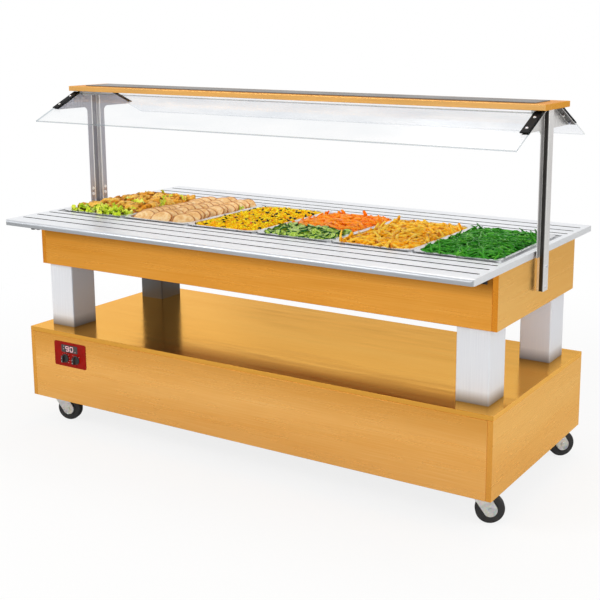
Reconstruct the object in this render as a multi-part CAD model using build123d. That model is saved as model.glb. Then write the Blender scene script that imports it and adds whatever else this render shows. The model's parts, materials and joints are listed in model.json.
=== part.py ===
from build123d import *
from math import cos, radians, sin, tan
import os

# Mobile heated buffet for six full-size food pans, in millimetres.
# X runs along the counter, the control side faces -Y, Z is up.
# The origin is on the floor, under the middle of the counter.

# Food pans, which set the length of everything above them
pan_count = 6
pan_pitch = 325.0
pan_length = 530.0
pan_depth = 100.0
pan_gap = 0.6
pan_rim_top = 879.0
pan_rim_drop = 5.2
pan_rim_width = 12.0
pan_corner = 46.0
pan_base_fillet = 14.0
pan_draft = 6.0
pan_sheet = 1.2
pan_rows = [(number - (pan_count - 1) / 2) * pan_pitch for number in range(pan_count)]

# Worktop with its tray slides
worktop_half_length = 1010.0
worktop_half_depth = 541.0
worktop_top = 876.0
worktop_rim = 22.0
worktop_nose = 12.0
nose_inside = 11.0
worktop_corner = 12.0
worktop_return = 12.0
sheet = 1.5
groove_rows = (320.0, 385.0, 460.0)
groove_half_length = 993.0
groove_width = 12.0
groove_depth = 4.0
groove_taper = 30.0
rim_bottom = worktop_top - worktop_rim
worktop_under = worktop_top - sheet

# Water tank that hangs under the worktop
tank_half_length = 989.0
tank_half_depth = 283.0
tank_bottom = 730.0
tank_flange = 16.0
tank_corner = 10.0
ledge_width = 12.0
ledge_inset = 16.0
bar_width = 20.0
bar_height = 14.0
bar_top = pan_rim_top - pan_rim_drop - 0.3
element_radius = 4.25
element_height = 747.0
element_leg_x = 940.0
element_leg_y = 95.0
element_end_x = 50.0
element_tail = 20.0
element_foot_bend = 12.0
element_turn = 60.0
element_nut = 10.0
drain_x = 700.0
drain_y = 200.0
drain_height = 706.0
drain_pipe_radius = 11.0
drain_bore_radius = 9.0
valve_y = 384.0
valve_radius = 15.0
valve_length = 50.0
outlet_reach = 42.0
outlet_drop = 34.0
lever_stem_radius = 5.0
lever_reach = 62.0
lever_width = 15.0
lever_sheet = 3.0
lever_grip_length = 44.0
lever_grip_width = 18.0

# Upper body, boards around the tank
body_half_length = 1010.0
body_half_depth = 352.0
body_bottom = 666.0
board = 18.0
end_board = 20.0
board_edge = 1.0
bracket_x = 960.0
bracket_reach = 500.0
bracket_tip = 14.0
bracket_root = 52.0
bracket_foot = 12.0
peg_x = -985.0
peg_spots = ((-417.0, 818.0), (-390.0, 813.0))
peg_radius = 10.0

# Columns between the base and the body
column_x = 922.0
column_y = 276.0
column_length = 120.0
column_depth = 130.0
column_corner = 5.0
column_plate = 5.0
wire_hole_radius = 15.0

# Base box, whose lid is the lower shelf
base_half_length = 1033.0
base_half_depth = 417.0
base_bottom = 115.0
base_top = 409.0
chassis_bottom = 128.0
chassis_sheet = 2.0
chassis_upstand = 30.0
runner_width = 70.0
runner_height = 25.0
runner_lip = 18.0
runner_draft = 6.0
runner_gap = 25.0
upright_size = 40.0
upright_sheet = 2.5
upright_cap = 4.0

# Control panel on the base front
control_left = -900.0
control_right = -729.0
control_low = 267.0
control_high = 369.0
control_sheet = 2.0
control_corner = 8.0
control_box_inset = 9.0
control_box_depth = 72.0
display_x = -816.0
display_z = 342.5
display_length = 88.0
display_height = 31.0
knob_spots = {"thermostat_knob": -840.0, "light_switch_knob": -782.0}
knob_z = 301.0
knob_radius = 18.0
knob_height = 20.0
knob_scoop_radius = 15.0
knob_scoop_offset = 19.5
unit_radius = 16.0
shaft_radius = 3.0
shaft_reach = 15.0
gland_x = -800.0
gland_z = 200.0
gland_radius = 8.0

# Posts, canopy and sloping glass
post_face = 1035.0
post_plane = 1017.0
post_sheet = 2.0
post_bend = 4.0
post_web = 46.0
post_width = 100.0
post_foot = 734.0
wing_bottom = 1286.0
wing_fillet = 20.0
lip_start = 74.0
lip_reach = 1042.0
post_screw_heights = (748.0, 820.0)
post_screw_grip = 14.0
canopy_bottom = 1356.0
canopy_top_height = 1376.0
canopy_half_length = 1055.0
canopy_half_depth = 115.0
cover_half_length = 1000.0
cover_half_depth = 70.0
cover_sheet = 3.0
hatch_margin = 9.0
skirt_depth = 10.0
glass_slope = 24.8
glass_start = 97.0
glass_end = 320.0
glass_ref_y = 96.0
glass_ref_z = 1350.0
glass_thickness = 6.0
clamp_start = 1012.0
clamp_end = 224.0
clamp_thickness = 4.5
screw_radius = 3.0
screw_head_radius = 5.5
screw_head_height = 3.0
housing_inner = 998.0
housing_half_depth = 93.0
housing_bottom = 1336.0
housing_corner = 16.0
housing_tongue = 955.0
tongue_half_depth = 60.0
terminal_span = (977.0, 985.0)
terminal_half_depth = 34.0
terminal_top = 1373.0
dome_nut_y = 19.0
dome_nut_z = 1345.0
dome_nut_radius = 6.5
dome_nut_height = 5.0
lamp_y = 20.0
lamp_z = 1365.0
lamp_reach = 987.0
lamp_radius = 5.0
lamp_cap_radius = 6.0
lamp_cap_length = 30.0
strip_reach = 974.0
strip_sheet = 2.0

# Swivel casters
caster_x = 955.0
caster_y = 338.0
wheel_radius = 50.0
wheel_width = 32.0
trail = 38.0
plate_long = 105.0
plate_wide = 80.0
plate_sheet = 2.5
kingpin_radius = 6.0
running_gap = 0.05
free_gap = 0.3
fork_sheet = 3.0
fork_half_gap = 19.5
fork_disc = 23.5
fork_crown = 106.0
race_radius = 29.0
race_top = 117.0
axle_radius = 5.0
pedal_hinge_x = 66.0
pedal_hinge_z = 101.0
pedal_half_width = 15.0
pedal_pin_radius = 3.0
pedal_eye_radius = 5.5
plate_bolt_x = 80.0
plate_bolt_y = 60.0

# Where each caster stands and which way its wheel trails, in degrees from +X
casters = {
    "front_left": (-1, -1, 18.0, True),
    "front_right": (1, -1, 30.0, False),
    "rear_left": (-1, 1, -20.0, True),
    "rear_right": (1, 1, 45.0, False),
}


def block(x_span, y_span, z_span):
    """A straight block between three pairs of planes."""
    size = [high - low for low, high in (x_span, y_span, z_span)]
    middle = [(high + low) / 2 for low, high in (x_span, y_span, z_span)]
    return Pos(*middle) * Box(*size)


def both(reach):
    """A span that reaches as far to each side of the middle plane."""
    return (-reach, reach)


def panel(x_span, y_span, z_span):
    """A faced board with its sharp edges broken."""
    straight = block(x_span, y_span, z_span)
    return chamfer(straight.edges(), board_edge)


def rounded_prism(length, depth, corner, low, high):
    """An upright prism on a rectangle with round corners."""
    outline = Pos(0, 0, low) * RectangleRounded(length, depth, corner)
    return extrude(outline, high - low)


def rod(start, direction, radius, length):
    """A round bar from a start point along a direction."""
    return extrude(Plane(origin=start, z_dir=direction) * Circle(radius), length)


def folded(points, radius, thickness, plane, low, high):
    """A folded sheet whose middle line is a rounded polyline, drawn along a plane's normal."""
    line = FilletPolyline(*points, radius=radius)
    strip = trace(line, line_width=thickness)
    return extrude(plane.offset(low) * strip, high - low)


# Base box

def base_front_panel():
    span = both(base_half_length - end_board)
    face = panel(span, (-base_half_depth, board - base_half_depth), (base_bottom, base_top - board))
    cutout = block(
        (control_left + control_box_inset, control_right - control_box_inset),
        (-base_half_depth - 1, board + 1 - base_half_depth),
        (control_low + control_box_inset, control_high - control_box_inset),
    )
    return face - cutout


def base_rear_panel():
    span = both(base_half_length - end_board)
    face = panel(span, (base_half_depth - board, base_half_depth), (base_bottom, base_top - board))
    hole = rod((gland_x, base_half_depth - board - 1, gland_z), (0, 1, 0), gland_radius, board + 2)
    return face - hole


def base_end_panel(side):
    outside = side * base_half_length
    inside = side * (base_half_length - end_board)
    return panel(
        (min(outside, inside), max(outside, inside)),
        both(base_half_depth),
        (base_bottom, base_top - board),
    )


def base_shelf():
    lid = panel(both(base_half_length), both(base_half_depth), (base_top - board, base_top))
    return lid - rod((-column_x, -column_y, base_top - board - 1), (0, 0, 1), wire_hole_radius, board + 2)


def base_chassis():
    """A folded steel floor with two runners and four uprights, welded into one piece."""
    half_length = base_half_length - end_board - free_gap
    half_depth = base_half_depth - board - free_gap
    top = chassis_bottom + chassis_upstand
    tray = rounded_prism(2 * half_length, 2 * half_depth, 4, chassis_bottom, top)
    inner = rounded_prism(
        2 * (half_length - chassis_sheet), 2 * (half_depth - chassis_sheet), 2,
        chassis_bottom + chassis_sheet, top + 1,
    )
    floor = tray - inner
    runner_top = chassis_bottom + chassis_sheet + runner_height
    foot_level = chassis_bottom + 1.5 * chassis_sheet
    half = runner_width / 2
    profile = [
        (-half - runner_lip, foot_level), (-half, foot_level),
        (-half + runner_draft, runner_top - chassis_sheet / 2),
        (half - runner_draft, runner_top - chassis_sheet / 2),
        (half, foot_level), (half + runner_lip, foot_level),
    ]
    runner_end = half_length - runner_gap
    for side in (-1, 1):
        runner = folded(profile, 3, chassis_sheet, Plane.YZ, -runner_end, runner_end)
        floor += Pos(0, side * column_y, 0) * runner
    for x_side in (-1, 1):
        for y_side in (-1, 1):
            floor += Pos(x_side * column_x, y_side * column_y, 0) * upright(runner_top)
    return floor


def upright(low):
    """A square tube that carries a column through the lid, with a plate on its head."""
    high = base_top - board
    inside = upright_size - 2 * upright_sheet
    tube = rounded_prism(upright_size, upright_size, 4, low, high)
    tube -= rounded_prism(inside, inside, 2, low - 1, high + 1)
    head = block(both(upright_size), both(upright_size), (high - upright_cap, high))
    head -= rod((0, 0, high - upright_cap - 1), (0, 0, 1), wire_hole_radius, upright_cap + 2)
    return tube + head


# Columns and upper body

def column(x_side, y_side):
    """A folded sheet column with an end plate at its foot and one at its head."""
    wall = rounded_prism(column_length, column_depth, column_corner, base_top, body_bottom)
    wall -= rounded_prism(
        column_length - 2 * sheet, column_depth - 2 * sheet, column_corner - sheet,
        base_top + column_plate, body_bottom - column_plate,
    )
    wall -= rod((0, 0, base_top - 1), (0, 0, 1), wire_hole_radius, body_bottom - base_top + 2)
    return Pos(x_side * column_x, y_side * column_y, 0) * wall


def body_long_panel(side):
    outside = side * body_half_depth
    inside = side * (body_half_depth - board)
    face = panel(
        both(body_half_length - end_board),
        (min(outside, inside), max(outside, inside)),
        (body_bottom, worktop_under),
    )
    if side > 0:
        face -= rod((drain_x, inside - 1, drain_height), (0, 1, 0), drain_pipe_radius + 1, board + 2)
    return face


def body_end_panel(side):
    outside = side * body_half_length
    inside = side * (body_half_length - end_board)
    face = panel(
        (min(outside, inside), max(outside, inside)),
        both(body_half_depth),
        (body_bottom, rim_bottom),
    )
    for height in post_screw_heights:
        start = (side * (body_half_length + 1), 0, height)
        face -= rod(start, (-side, 0, 0), screw_radius + 0.1, post_screw_grip + 2)
    return face


def body_floor():
    span = both(body_half_length - end_board)
    plate = panel(span, both(body_half_depth - board), (body_bottom, body_bottom + board))
    return plate - rod((-column_x, -column_y, body_bottom - 1), (0, 0, 1), wire_hole_radius, board + 2)


def bullnosed_slab(inset, nose, low, high):
    """The worktop's outer form, or the same form moved inwards by a sheet's thickness."""
    half_depth = worktop_half_depth - inset
    half_length = worktop_half_length - inset
    bar = block(both(half_length), both(half_depth), (low, high))
    long_edges = bar.edges().filter_by(Axis.X).group_by(Axis.Z)[-1]
    bar = fillet(long_edges, nose)
    plan = rounded_prism(2 * half_length, 2 * half_depth, worktop_corner - inset, low, high)
    return bar & plan


def groove(row, width, level, depth):
    """One pressed tray-slide groove, round at both ends and narrower at its floor."""
    outline = SlotOverall(2 * groove_half_length + width - groove_width, width)
    return Pos(0, row, level) * extrude(outline, -depth, taper=groove_taper)


def worktop():
    """A folded sheet worktop with a rim, return lips, tray-slide grooves and the well opening."""
    top = bullnosed_slab(0, worktop_nose, rim_bottom, worktop_top)
    top -= bullnosed_slab(sheet, nose_inside, rim_bottom + sheet, worktop_under)
    throat = worktop_return + sheet
    top -= rounded_prism(
        2 * (worktop_half_length - throat), 2 * (worktop_half_depth - throat), 2,
        rim_bottom - 1, rim_bottom + sheet + 1,
    )
    for row in groove_rows:
        for side in (-1, 1):
            top += groove(side * row, groove_width + 2 * sheet, worktop_top - sheet, groove_depth)
            top -= groove(side * row, groove_width, worktop_top, groove_depth)
    top -= rounded_prism(
        2 * tank_half_length - 2, 2 * tank_half_depth - 2, tank_corner,
        worktop_under - 1, worktop_top + 1,
    )
    return top


def worktop_brackets():
    """Folded gussets under the tray slides, and two capped pegs beside the front left corner."""
    top = worktop_under - groove_depth
    points = [
        (body_half_depth, top), (bracket_reach, top), (bracket_reach, top - bracket_tip),
        (body_half_depth, top - bracket_root),
    ]
    side_view = make_face(Polyline(*points, close=True))
    arm = extrude(Plane.YZ * side_view, sheet, both=True)
    foot_span = (body_half_depth, body_half_depth + sheet)
    arm += block(both(bracket_foot), foot_span, (top - bracket_root, top))
    arms = four_ways(Pos(bracket_x, 0, 0) * arm)
    for y_place, low in peg_spots:
        peg = rod((peg_x, y_place, low), (0, 0, 1), peg_radius, top - low)
        arms.append(fillet(peg.edges().group_by(Axis.Z)[0], 4))
    return arms


# Well

def well_tank():
    """A welded tank with a flange under the worktop, bar ledges and a drain pipe."""
    tank = rounded_prism(
        2 * tank_half_length, 2 * tank_half_depth, tank_corner, tank_bottom, worktop_under
    )
    tank += rounded_prism(
        2 * (tank_half_length + tank_flange), 2 * (tank_half_depth + tank_flange), tank_corner,
        worktop_under - sheet, worktop_under,
    )
    tank -= rounded_prism(
        2 * (tank_half_length - sheet), 2 * (tank_half_depth - sheet), tank_corner - sheet,
        tank_bottom + sheet, worktop_under + 1,
    )
    wall = tank_half_depth - sheet
    ledge_top = bar_top - bar_height
    for side in (-1, 1):
        span = sorted((side * wall, side * (wall - ledge_width)))
        tank += block(both(tank_half_length - ledge_inset), span, (ledge_top - 2, ledge_top))
    tank -= rod((drain_x, drain_y, tank_bottom - 1), (0, 0, 1), drain_bore_radius, 4)
    for x_side in (-1, 1):
        for y_side in (-1, 1):
            spot = (x_side * element_leg_x, y_side * element_leg_y, tank_bottom - 1)
            tank -= rod(spot, (0, 0, 1), element_radius + 1.75, 4)
    route = FilletPolyline(
        (drain_x, drain_y, tank_bottom), (drain_x, drain_y, drain_height),
        (drain_x, valve_y - valve_radius, drain_height), radius=20,
    )
    ring = Circle(drain_pipe_radius) - Circle(drain_bore_radius)
    pipe = sweep(Plane(origin=(drain_x, drain_y, tank_bottom), z_dir=(0, 0, -1)) * ring, path=route)
    return tank + pipe


def pan_support_bars():
    """Folded channels under the meeting rims of the pans and under the two end rims."""
    bars = []
    reach = tank_half_depth - sheet - 4
    half = bar_width / 2
    for place in range(pan_count + 1):
        x_place = (place - pan_count / 2) * pan_pitch
        channel = block(both(half), both(reach), (bar_top - bar_height, bar_top))
        channel -= block(both(half - sheet), both(reach + 1), (bar_top - bar_height - 1, bar_top - sheet))
        bars.append(Pos(x_place, 0, 0) * channel)
    return bars


def heating_elements():
    """Two hairpin tubular heaters, each with a pair of glands through the tank floor."""
    heaters = []
    tail = tank_bottom - element_tail
    for side in (-1, 1):
        far = side * element_leg_x
        near = side * element_end_x
        route = FilletPolyline(
            (far, -element_leg_y, tail), (far, -element_leg_y, element_height),
            (near, -element_leg_y, element_height), (near, element_leg_y, element_height),
            (far, element_leg_y, element_height), (far, element_leg_y, tail),
            radius=[element_foot_bend, element_turn, element_turn, element_foot_bend],
        )
        start = Plane(origin=(far, -element_leg_y, tail), z_dir=(0, 0, 1))
        heater = sweep(start * Circle(element_radius), path=route)
        for y_side in (-1, 1):
            heater += Pos(far, y_side * element_leg_y, 0) * element_gland()
        heaters.append(heater)
    return heaters


def element_gland():
    """The collar in the tank, the stem through its floor and the nut under it."""
    collar = rod((0, 0, tank_bottom + sheet), (0, 0, 1), element_nut, 4)
    nut = extrude(Pos(0, 0, tank_bottom - 6) * RegularPolygon(element_nut, 6), 6)
    stem = rod((0, 0, tank_bottom - 2), (0, 0, 1), element_radius + 1.7, 5)
    return collar + nut + stem


def drain_valve():
    """A ball valve on the end of the drain pipe, with its outlet turned down."""
    start = body_half_depth + 4
    middle = Plane(origin=(drain_x, start, drain_height), z_dir=(0, 1, 0))
    pipe_end = valve_y - valve_radius
    outlet_y = start + outlet_reach
    shell = extrude(middle * RegularPolygon(valve_radius, 6), 12)
    shell += rod((drain_x, start, drain_height), (0, 1, 0), valve_radius - 2, valve_length)
    shell += Pos(drain_x, valve_y, drain_height) * Sphere(valve_radius + 1.5)
    shell += rod((drain_x, outlet_y, drain_height), (0, 0, -1), valve_radius - 3, outlet_drop)
    shell -= rod((drain_x, start - 1, drain_height), (0, 1, 0), drain_pipe_radius, pipe_end - start + 1)
    shell -= rod((drain_x, outlet_y, drain_height), (0, 0, -1), drain_bore_radius, outlet_drop + 1)
    shell += rod((drain_x, valve_y, drain_height), (0, 0, 1), lever_stem_radius, 28)
    return shell


def drain_lever():
    """The valve's flat handle, which turns on the stem."""
    low = drain_height + valve_radius + 4
    handle = extrude(Pos(lever_reach / 2, 0, low) * SlotCenterToCenter(lever_reach, lever_width), lever_sheet)
    lever = handle + rod((0, 0, low), (0, 0, 1), 9, 2 * lever_sheet)
    grip_middle = lever_reach - lever_grip_width
    grip = Pos(grip_middle, 0, low - 2) * SlotOverall(lever_grip_length, lever_grip_width)
    grip = extrude(grip, lever_sheet + 4)
    lever += fillet(grip.edges().group_by(Axis.Z)[-1], 1.5)
    lever -= rod((0, 0, low - 5), (0, 0, 1), lever_stem_radius + running_gap, 20)
    return Pos(drain_x, valve_y, 0) * lever


# Control panel

def knob_shafts():
    """The thermostat and switch behind the panel, each with the shaft that carries its knob."""
    bodies = None
    for x_place in knob_spots.values():
        front = (x_place, -base_half_depth + control_box_depth - sheet, knob_z)
        unit = rod(front, (0, -1, 0), unit_radius, control_box_depth - sheet - 2)
        unit += rod(front, (0, -1, 0), shaft_radius, control_box_depth + shaft_reach)
        bodies = unit if bodies is None else bodies + unit
    return bodies


def control_box():
    """A folded box behind the panel, with the thermostat and the light switch in it."""
    x_span = (control_left + control_box_inset + free_gap, control_right - control_box_inset - free_gap)
    z_span = (control_low + control_box_inset + free_gap, control_high - control_box_inset - free_gap)
    shell = block(x_span, (-base_half_depth, control_box_depth - base_half_depth), z_span)
    hollow = block(
        (x_span[0] + sheet, x_span[1] - sheet),
        (-base_half_depth - 1, control_box_depth - sheet - base_half_depth),
        (z_span[0] + sheet, z_span[1] - sheet),
    )
    return shell - hollow + knob_shafts()


def control_plate():
    """The coloured plate, with its display window and two shaft holes."""
    length = control_right - control_left
    height = control_high - control_low
    middle = Pos((control_left + control_right) / 2, -base_half_depth, (control_low + control_high) / 2)
    outline = RectangleRounded(length, height, control_corner)
    plate = middle * extrude(Plane.XZ * outline, control_sheet)
    plate = chamfer(plate.faces().sort_by(Axis.Y)[0].outer_wire().edges(), 0.8)
    window = Plane.XZ * RectangleRounded(display_length, display_height, 3)
    plate -= Pos(display_x, 1 - base_half_depth, display_z) * extrude(window, control_sheet + 2)
    for x_place in knob_spots.values():
        plate -= rod((x_place, 1 - base_half_depth, knob_z), (0, -1, 0), shaft_radius + 1, control_sheet + 2)
    return plate


def display_window():
    """The clear window over the temperature display."""
    outline = Plane.XZ * RectangleRounded(display_length, display_height, 3)
    pane = Pos(display_x, 1 - base_half_depth, display_z) * extrude(outline, control_sheet + 2)
    return chamfer(pane.faces().sort_by(Axis.Y)[0].edges(), 0.6)


def knob(x_place):
    """A control knob: a skirt, a drawn-in body and a finger bar between two scoops."""
    start = base_half_depth + control_sheet + free_gap
    profile = Polyline(
        (0, 0), (knob_radius, 0), (knob_radius, 3), (knob_radius - 2, 5),
        (knob_radius - 4, knob_height - 1.5), (knob_radius - 5.5, knob_height), (0, knob_height),
        close=True,
    )
    turned = revolve(Plane.XZ * make_face(profile), Axis.Z)
    for side in (-1, 1):
        scoop = Rot(90, 0, 0) * Cylinder(knob_scoop_radius, 3 * knob_radius)
        turned -= Pos(side * knob_scoop_offset, 0, 7 + knob_height / 2) * scoop
    turned -= Pos(0, 0, 6) * Cylinder(shaft_radius + running_gap, 20)
    return Pos(x_place, -start, knob_z) * Rot(90, 0, 0) * turned


def cable_gland():
    """The inlet gland for the supply lead, on the rear of the base."""
    profile = Polyline(
        (0, -board), (gland_radius, -board), (gland_radius, 0), (13, 0), (13, 3), (10.5, 3), (10.5, 9),
        (11.5, 10), (11.5, 15), (8, 21), (5, 21), (5, 6), (0, 6), close=True,
    )
    turned = revolve(Plane.XZ * make_face(profile), Axis.Z)
    turned += extrude(Pos(0, 0, 3) * (RegularPolygon(13.5, 6) - Circle(10)), 6)
    return Pos(gland_x, base_half_depth, gland_z) * Rot(-90, 0, 0) * turned


# Posts, canopy and glass

def slope_point(along_y, lift):
    """A point in the YZ plane, lifted square off the upper face of the glass."""
    fall = tan(radians(glass_slope)) * (along_y - glass_ref_y)
    normal_y = sin(radians(glass_slope))
    normal_z = cos(radians(glass_slope))
    return (along_y + lift * normal_y, glass_ref_z - fall + lift * normal_z)


def wing_edge_y(height):
    """Where the underside of the glass, carried on in line, stands at a height."""
    start_y, start_z = slope_point(glass_ref_y, -glass_thickness)
    return start_y + (start_z - height) / tan(radians(glass_slope))


def slope_strip(start_y, end_y, low, high, x_span):
    """A flat strip on the slope between two lifts, drawn along X."""
    corners = [
        slope_point(start_y, low), slope_point(end_y, low),
        slope_point(end_y, high), slope_point(start_y, high),
    ]
    section = make_face(Polyline(*corners, close=True))
    return extrude(Plane.YZ.offset(x_span[0]) * section, x_span[1] - x_span[0])


def head_plate():
    """The flat of the hat section, which spreads into two wings under the glass."""
    half = post_width / 2
    right_side = [
        (half, rim_bottom), (half, wing_bottom),
        (wing_edge_y(wing_bottom), wing_bottom), (wing_edge_y(canopy_bottom), canopy_bottom),
    ]
    left_side = [(-y_place, height) for y_place, height in reversed(right_side)]
    outline = make_face(Polyline(*right_side, *left_side, close=True))
    inner_corners = [
        corner for corner in outline.vertices()
        if abs(abs(corner.X) - half) < 0.1 and abs(corner.Y - wing_bottom) < 0.1
    ]
    outline = fillet(inner_corners, wing_fillet)
    return extrude(Plane.YZ.offset(post_plane - post_sheet / 2) * outline, post_sheet)


def post_channel(open_side, low, high):
    """The raised middle of the hat section between two heights, from its open side to its flat face."""
    wall = (post_web - post_sheet) / 2
    face = post_face - post_sheet / 2
    line = [(open_side, wall), (face, wall), (face, -wall), (open_side, -wall)]
    return folded(line, post_bend, post_sheet, Plane.XY, low, high)


def glass_lip():
    """The edge of a wing, folded outwards along the slope to carry the glass."""
    span = (post_plane - post_sheet / 2, lip_reach)
    lip = slope_strip(lip_start, clamp_end - 6, -glass_thickness - post_sheet, -glass_thickness, span)
    return lip & block((span[0] - 1, lip_reach + 1), (0, glass_end), (wing_bottom - 8, canopy_bottom))


def post():
    """The right-hand post: a folded hat section with glass wings and a screwed channel foot."""
    back = post_plane - post_sheet / 2
    mouth = block(
        (back - 1, post_plane + post_sheet), both(post_web / 2 - post_sheet),
        (rim_bottom - 1, canopy_bottom + 1),
    )
    shape = head_plate() - mouth
    shape += post_channel(back, rim_bottom, canopy_bottom)
    shape += post_channel(body_half_length, post_foot, rim_bottom)
    shape += block((back, post_face), both(post_width / 2), (canopy_bottom - 3, canopy_bottom))
    lip = glass_lip()
    shape += lip
    shape += mirror(lip, Plane.XZ)
    for height in post_screw_heights:
        shape -= rod((post_face + 1, 0, height), (-1, 0, 0), screw_radius + 0.1, 2 * post_sheet)
    for x_place, y_place in clamp_spots():
        hole = slope_hole(x_place, y_place, screw_radius + 0.1)
        shape -= hole
        shape -= mirror(hole, Plane.XZ)
    return shape


def clamp_spots():
    """Where the two screws of the rear clamp stand on the right-hand side."""
    span = clamp_end - glass_ref_y
    x_place = (clamp_start + lip_reach) / 2
    return [(x_place, glass_ref_y + share * span) for share in (0.3, 0.8)]


def slope_hole(x_place, y_place, radius):
    """A round hole square through the clamp, the glass and the lip."""
    bottom = slope_point(y_place, -20)
    normal = (0, sin(radians(glass_slope)), cos(radians(glass_slope)))
    return rod((x_place, bottom[0], bottom[1]), normal, radius, 40)


def glass_pane():
    """The rear glass, which slopes down and outwards from under the canopy."""
    pane = slope_strip(glass_start, glass_end, -glass_thickness, 0, both(lip_reach))
    pane = chamfer(pane.edges().filter_by(Axis.X), 1)
    for x_place, y_place in clamp_spots():
        pane -= slope_hole(x_place, y_place, screw_radius + 1)
        pane -= slope_hole(-x_place, y_place, screw_radius + 1)
    return pane


def glass_clamps():
    """Four flat bars that hold the glass down on the lips of the posts."""
    bar = slope_strip(glass_ref_y, clamp_end, 0, clamp_thickness, (clamp_start, lip_reach))
    bar = chamfer(bar.edges(), 1)
    for x_place, y_place in clamp_spots():
        bar -= slope_hole(x_place, y_place, screw_radius + 0.1)
    return four_ways(bar)


def four_ways(shape):
    """The shape and its copies mirrored to the other end and the other side."""
    pair = [shape, mirror(shape, Plane.XZ)]
    return pair + [mirror(one, Plane.YZ) for one in pair]


def button_screw(length, nut_place):
    """A domed screw along Z with its head's seat at zero, and a nut below where one is given."""
    profile = Polyline(
        (0, 0), (screw_head_radius, 0), (screw_head_radius - 0.8, 1.8),
        (screw_head_radius - 2.5, screw_head_height), (0, screw_head_height), close=True,
    )
    screw = revolve(Plane.XZ * make_face(profile), Axis.Z)
    screw += rod((0, 0, 0.5), (0, 0, -1), screw_radius, length + 0.5)
    if nut_place:
        screw += extrude(Pos(0, 0, -nut_place - 4) * RegularPolygon(5.5, 6), 4)
    return screw


def button_screws():
    """The screws of the clamps, two in each, and those of the post feet."""
    screws = []
    stack = clamp_thickness + glass_thickness + post_sheet
    for x_place, y_place in clamp_spots():
        seat = slope_point(y_place, clamp_thickness)
        screw = Pos(x_place, seat[0], seat[1]) * Rot(-glass_slope, 0, 0) * button_screw(stack + 6, stack)
        screws += four_ways(screw)
    foot_length = post_face - body_half_length + post_screw_grip
    for height in post_screw_heights:
        screw = Pos(post_face, 0, height) * Rot(0, 90, 0) * button_screw(foot_length, 0)
        screws += [screw, mirror(screw, Plane.YZ)]
    return screws


def canopy_frame():
    """The canopy board, with a long opening over the lamps."""
    slab = panel(both(canopy_half_length), both(canopy_half_depth), (canopy_bottom, canopy_top_height))
    return slab - block(
        both(cover_half_length - hatch_margin), both(cover_half_depth - hatch_margin),
        (canopy_bottom - 1, canopy_top_height + 1),
    )


def canopy_cover():
    """The dark lid on the canopy, with a skirt that drops into the opening."""
    seat = canopy_top_height
    lid = block(both(cover_half_length), both(cover_half_depth), (seat, seat + cover_sheet))
    lid = chamfer(lid.faces().sort_by(Axis.Z)[-1].edges(), 1.2)
    outer_length = cover_half_length - hatch_margin - free_gap
    outer_depth = cover_half_depth - hatch_margin - free_gap
    skirt = block(both(outer_length), both(outer_depth), (seat - skirt_depth, seat))
    skirt -= block(both(outer_length - sheet), both(outer_depth - sheet), (seat - skirt_depth - 1, seat))
    return lid + skirt


def lamp_holder():
    """The right-hand lamp holder: a shallow pressed end under the canopy, with a terminal block."""
    back = post_plane - post_sheet / 2
    shell = block((housing_inner, back), both(housing_half_depth), (housing_bottom, canopy_bottom))
    shell = fillet(shell.edges().filter_by(Axis.X).group_by(Axis.Z)[0], housing_corner)
    hollow = block(
        (housing_inner + sheet, back + 1), both(housing_half_depth - sheet),
        (housing_bottom + sheet, canopy_bottom - sheet),
    )
    shell -= fillet(hollow.edges().filter_by(Axis.X).group_by(Axis.Z)[0], housing_corner - sheet)
    shell += block(
        (housing_tongue, housing_inner + sheet), both(tongue_half_depth),
        (canopy_bottom - sheet, canopy_bottom),
    )
    shell += block(terminal_span, both(terminal_half_depth), (canopy_bottom - sheet, terminal_top))
    for side in (-1, 1):
        start = (terminal_span[0] - 1, side * lamp_y, lamp_z)
        shell -= rod(start, (1, 0, 0), lamp_cap_radius + 0.1, terminal_span[1] - terminal_span[0] + 2)
        seat = (housing_inner, side * dome_nut_y, dome_nut_z)
        nut = rod(seat, (-1, 0, 0), dome_nut_radius, dome_nut_height)
        shell += fillet(nut.edges().group_by(Axis.X)[0], dome_nut_height / 2)
    return shell


def lamp_housing():
    """The two lamp holders, one inside each post."""
    holder = lamp_holder()
    return [holder, mirror(holder, Plane.YZ)]


def lamp_tubes():
    """Two quartz heating lamps with ceramic end caps, in the canopy's opening."""
    lamps = []
    for side in (-1, 1):
        start = (-lamp_reach, side * lamp_y, lamp_z)
        end = (lamp_reach, side * lamp_y, lamp_z)
        lamp = rod(start, (1, 0, 0), lamp_radius, 2 * lamp_reach)
        lamp += rod(start, (1, 0, 0), lamp_cap_radius, lamp_cap_length)
        lamp += rod(end, (-1, 0, 0), lamp_cap_radius, lamp_cap_length)
        lamps.append(lamp)
    return lamps


def lamp_cover():
    """The clear strip that closes the opening under the lamps and rests on the holders' tongues."""
    strip = block(
        both(strip_reach), both(tongue_half_depth), (canopy_bottom, canopy_bottom + strip_sheet)
    )
    return chamfer(strip.edges().filter_by(Axis.X), 0.4)


# Pans

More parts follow.
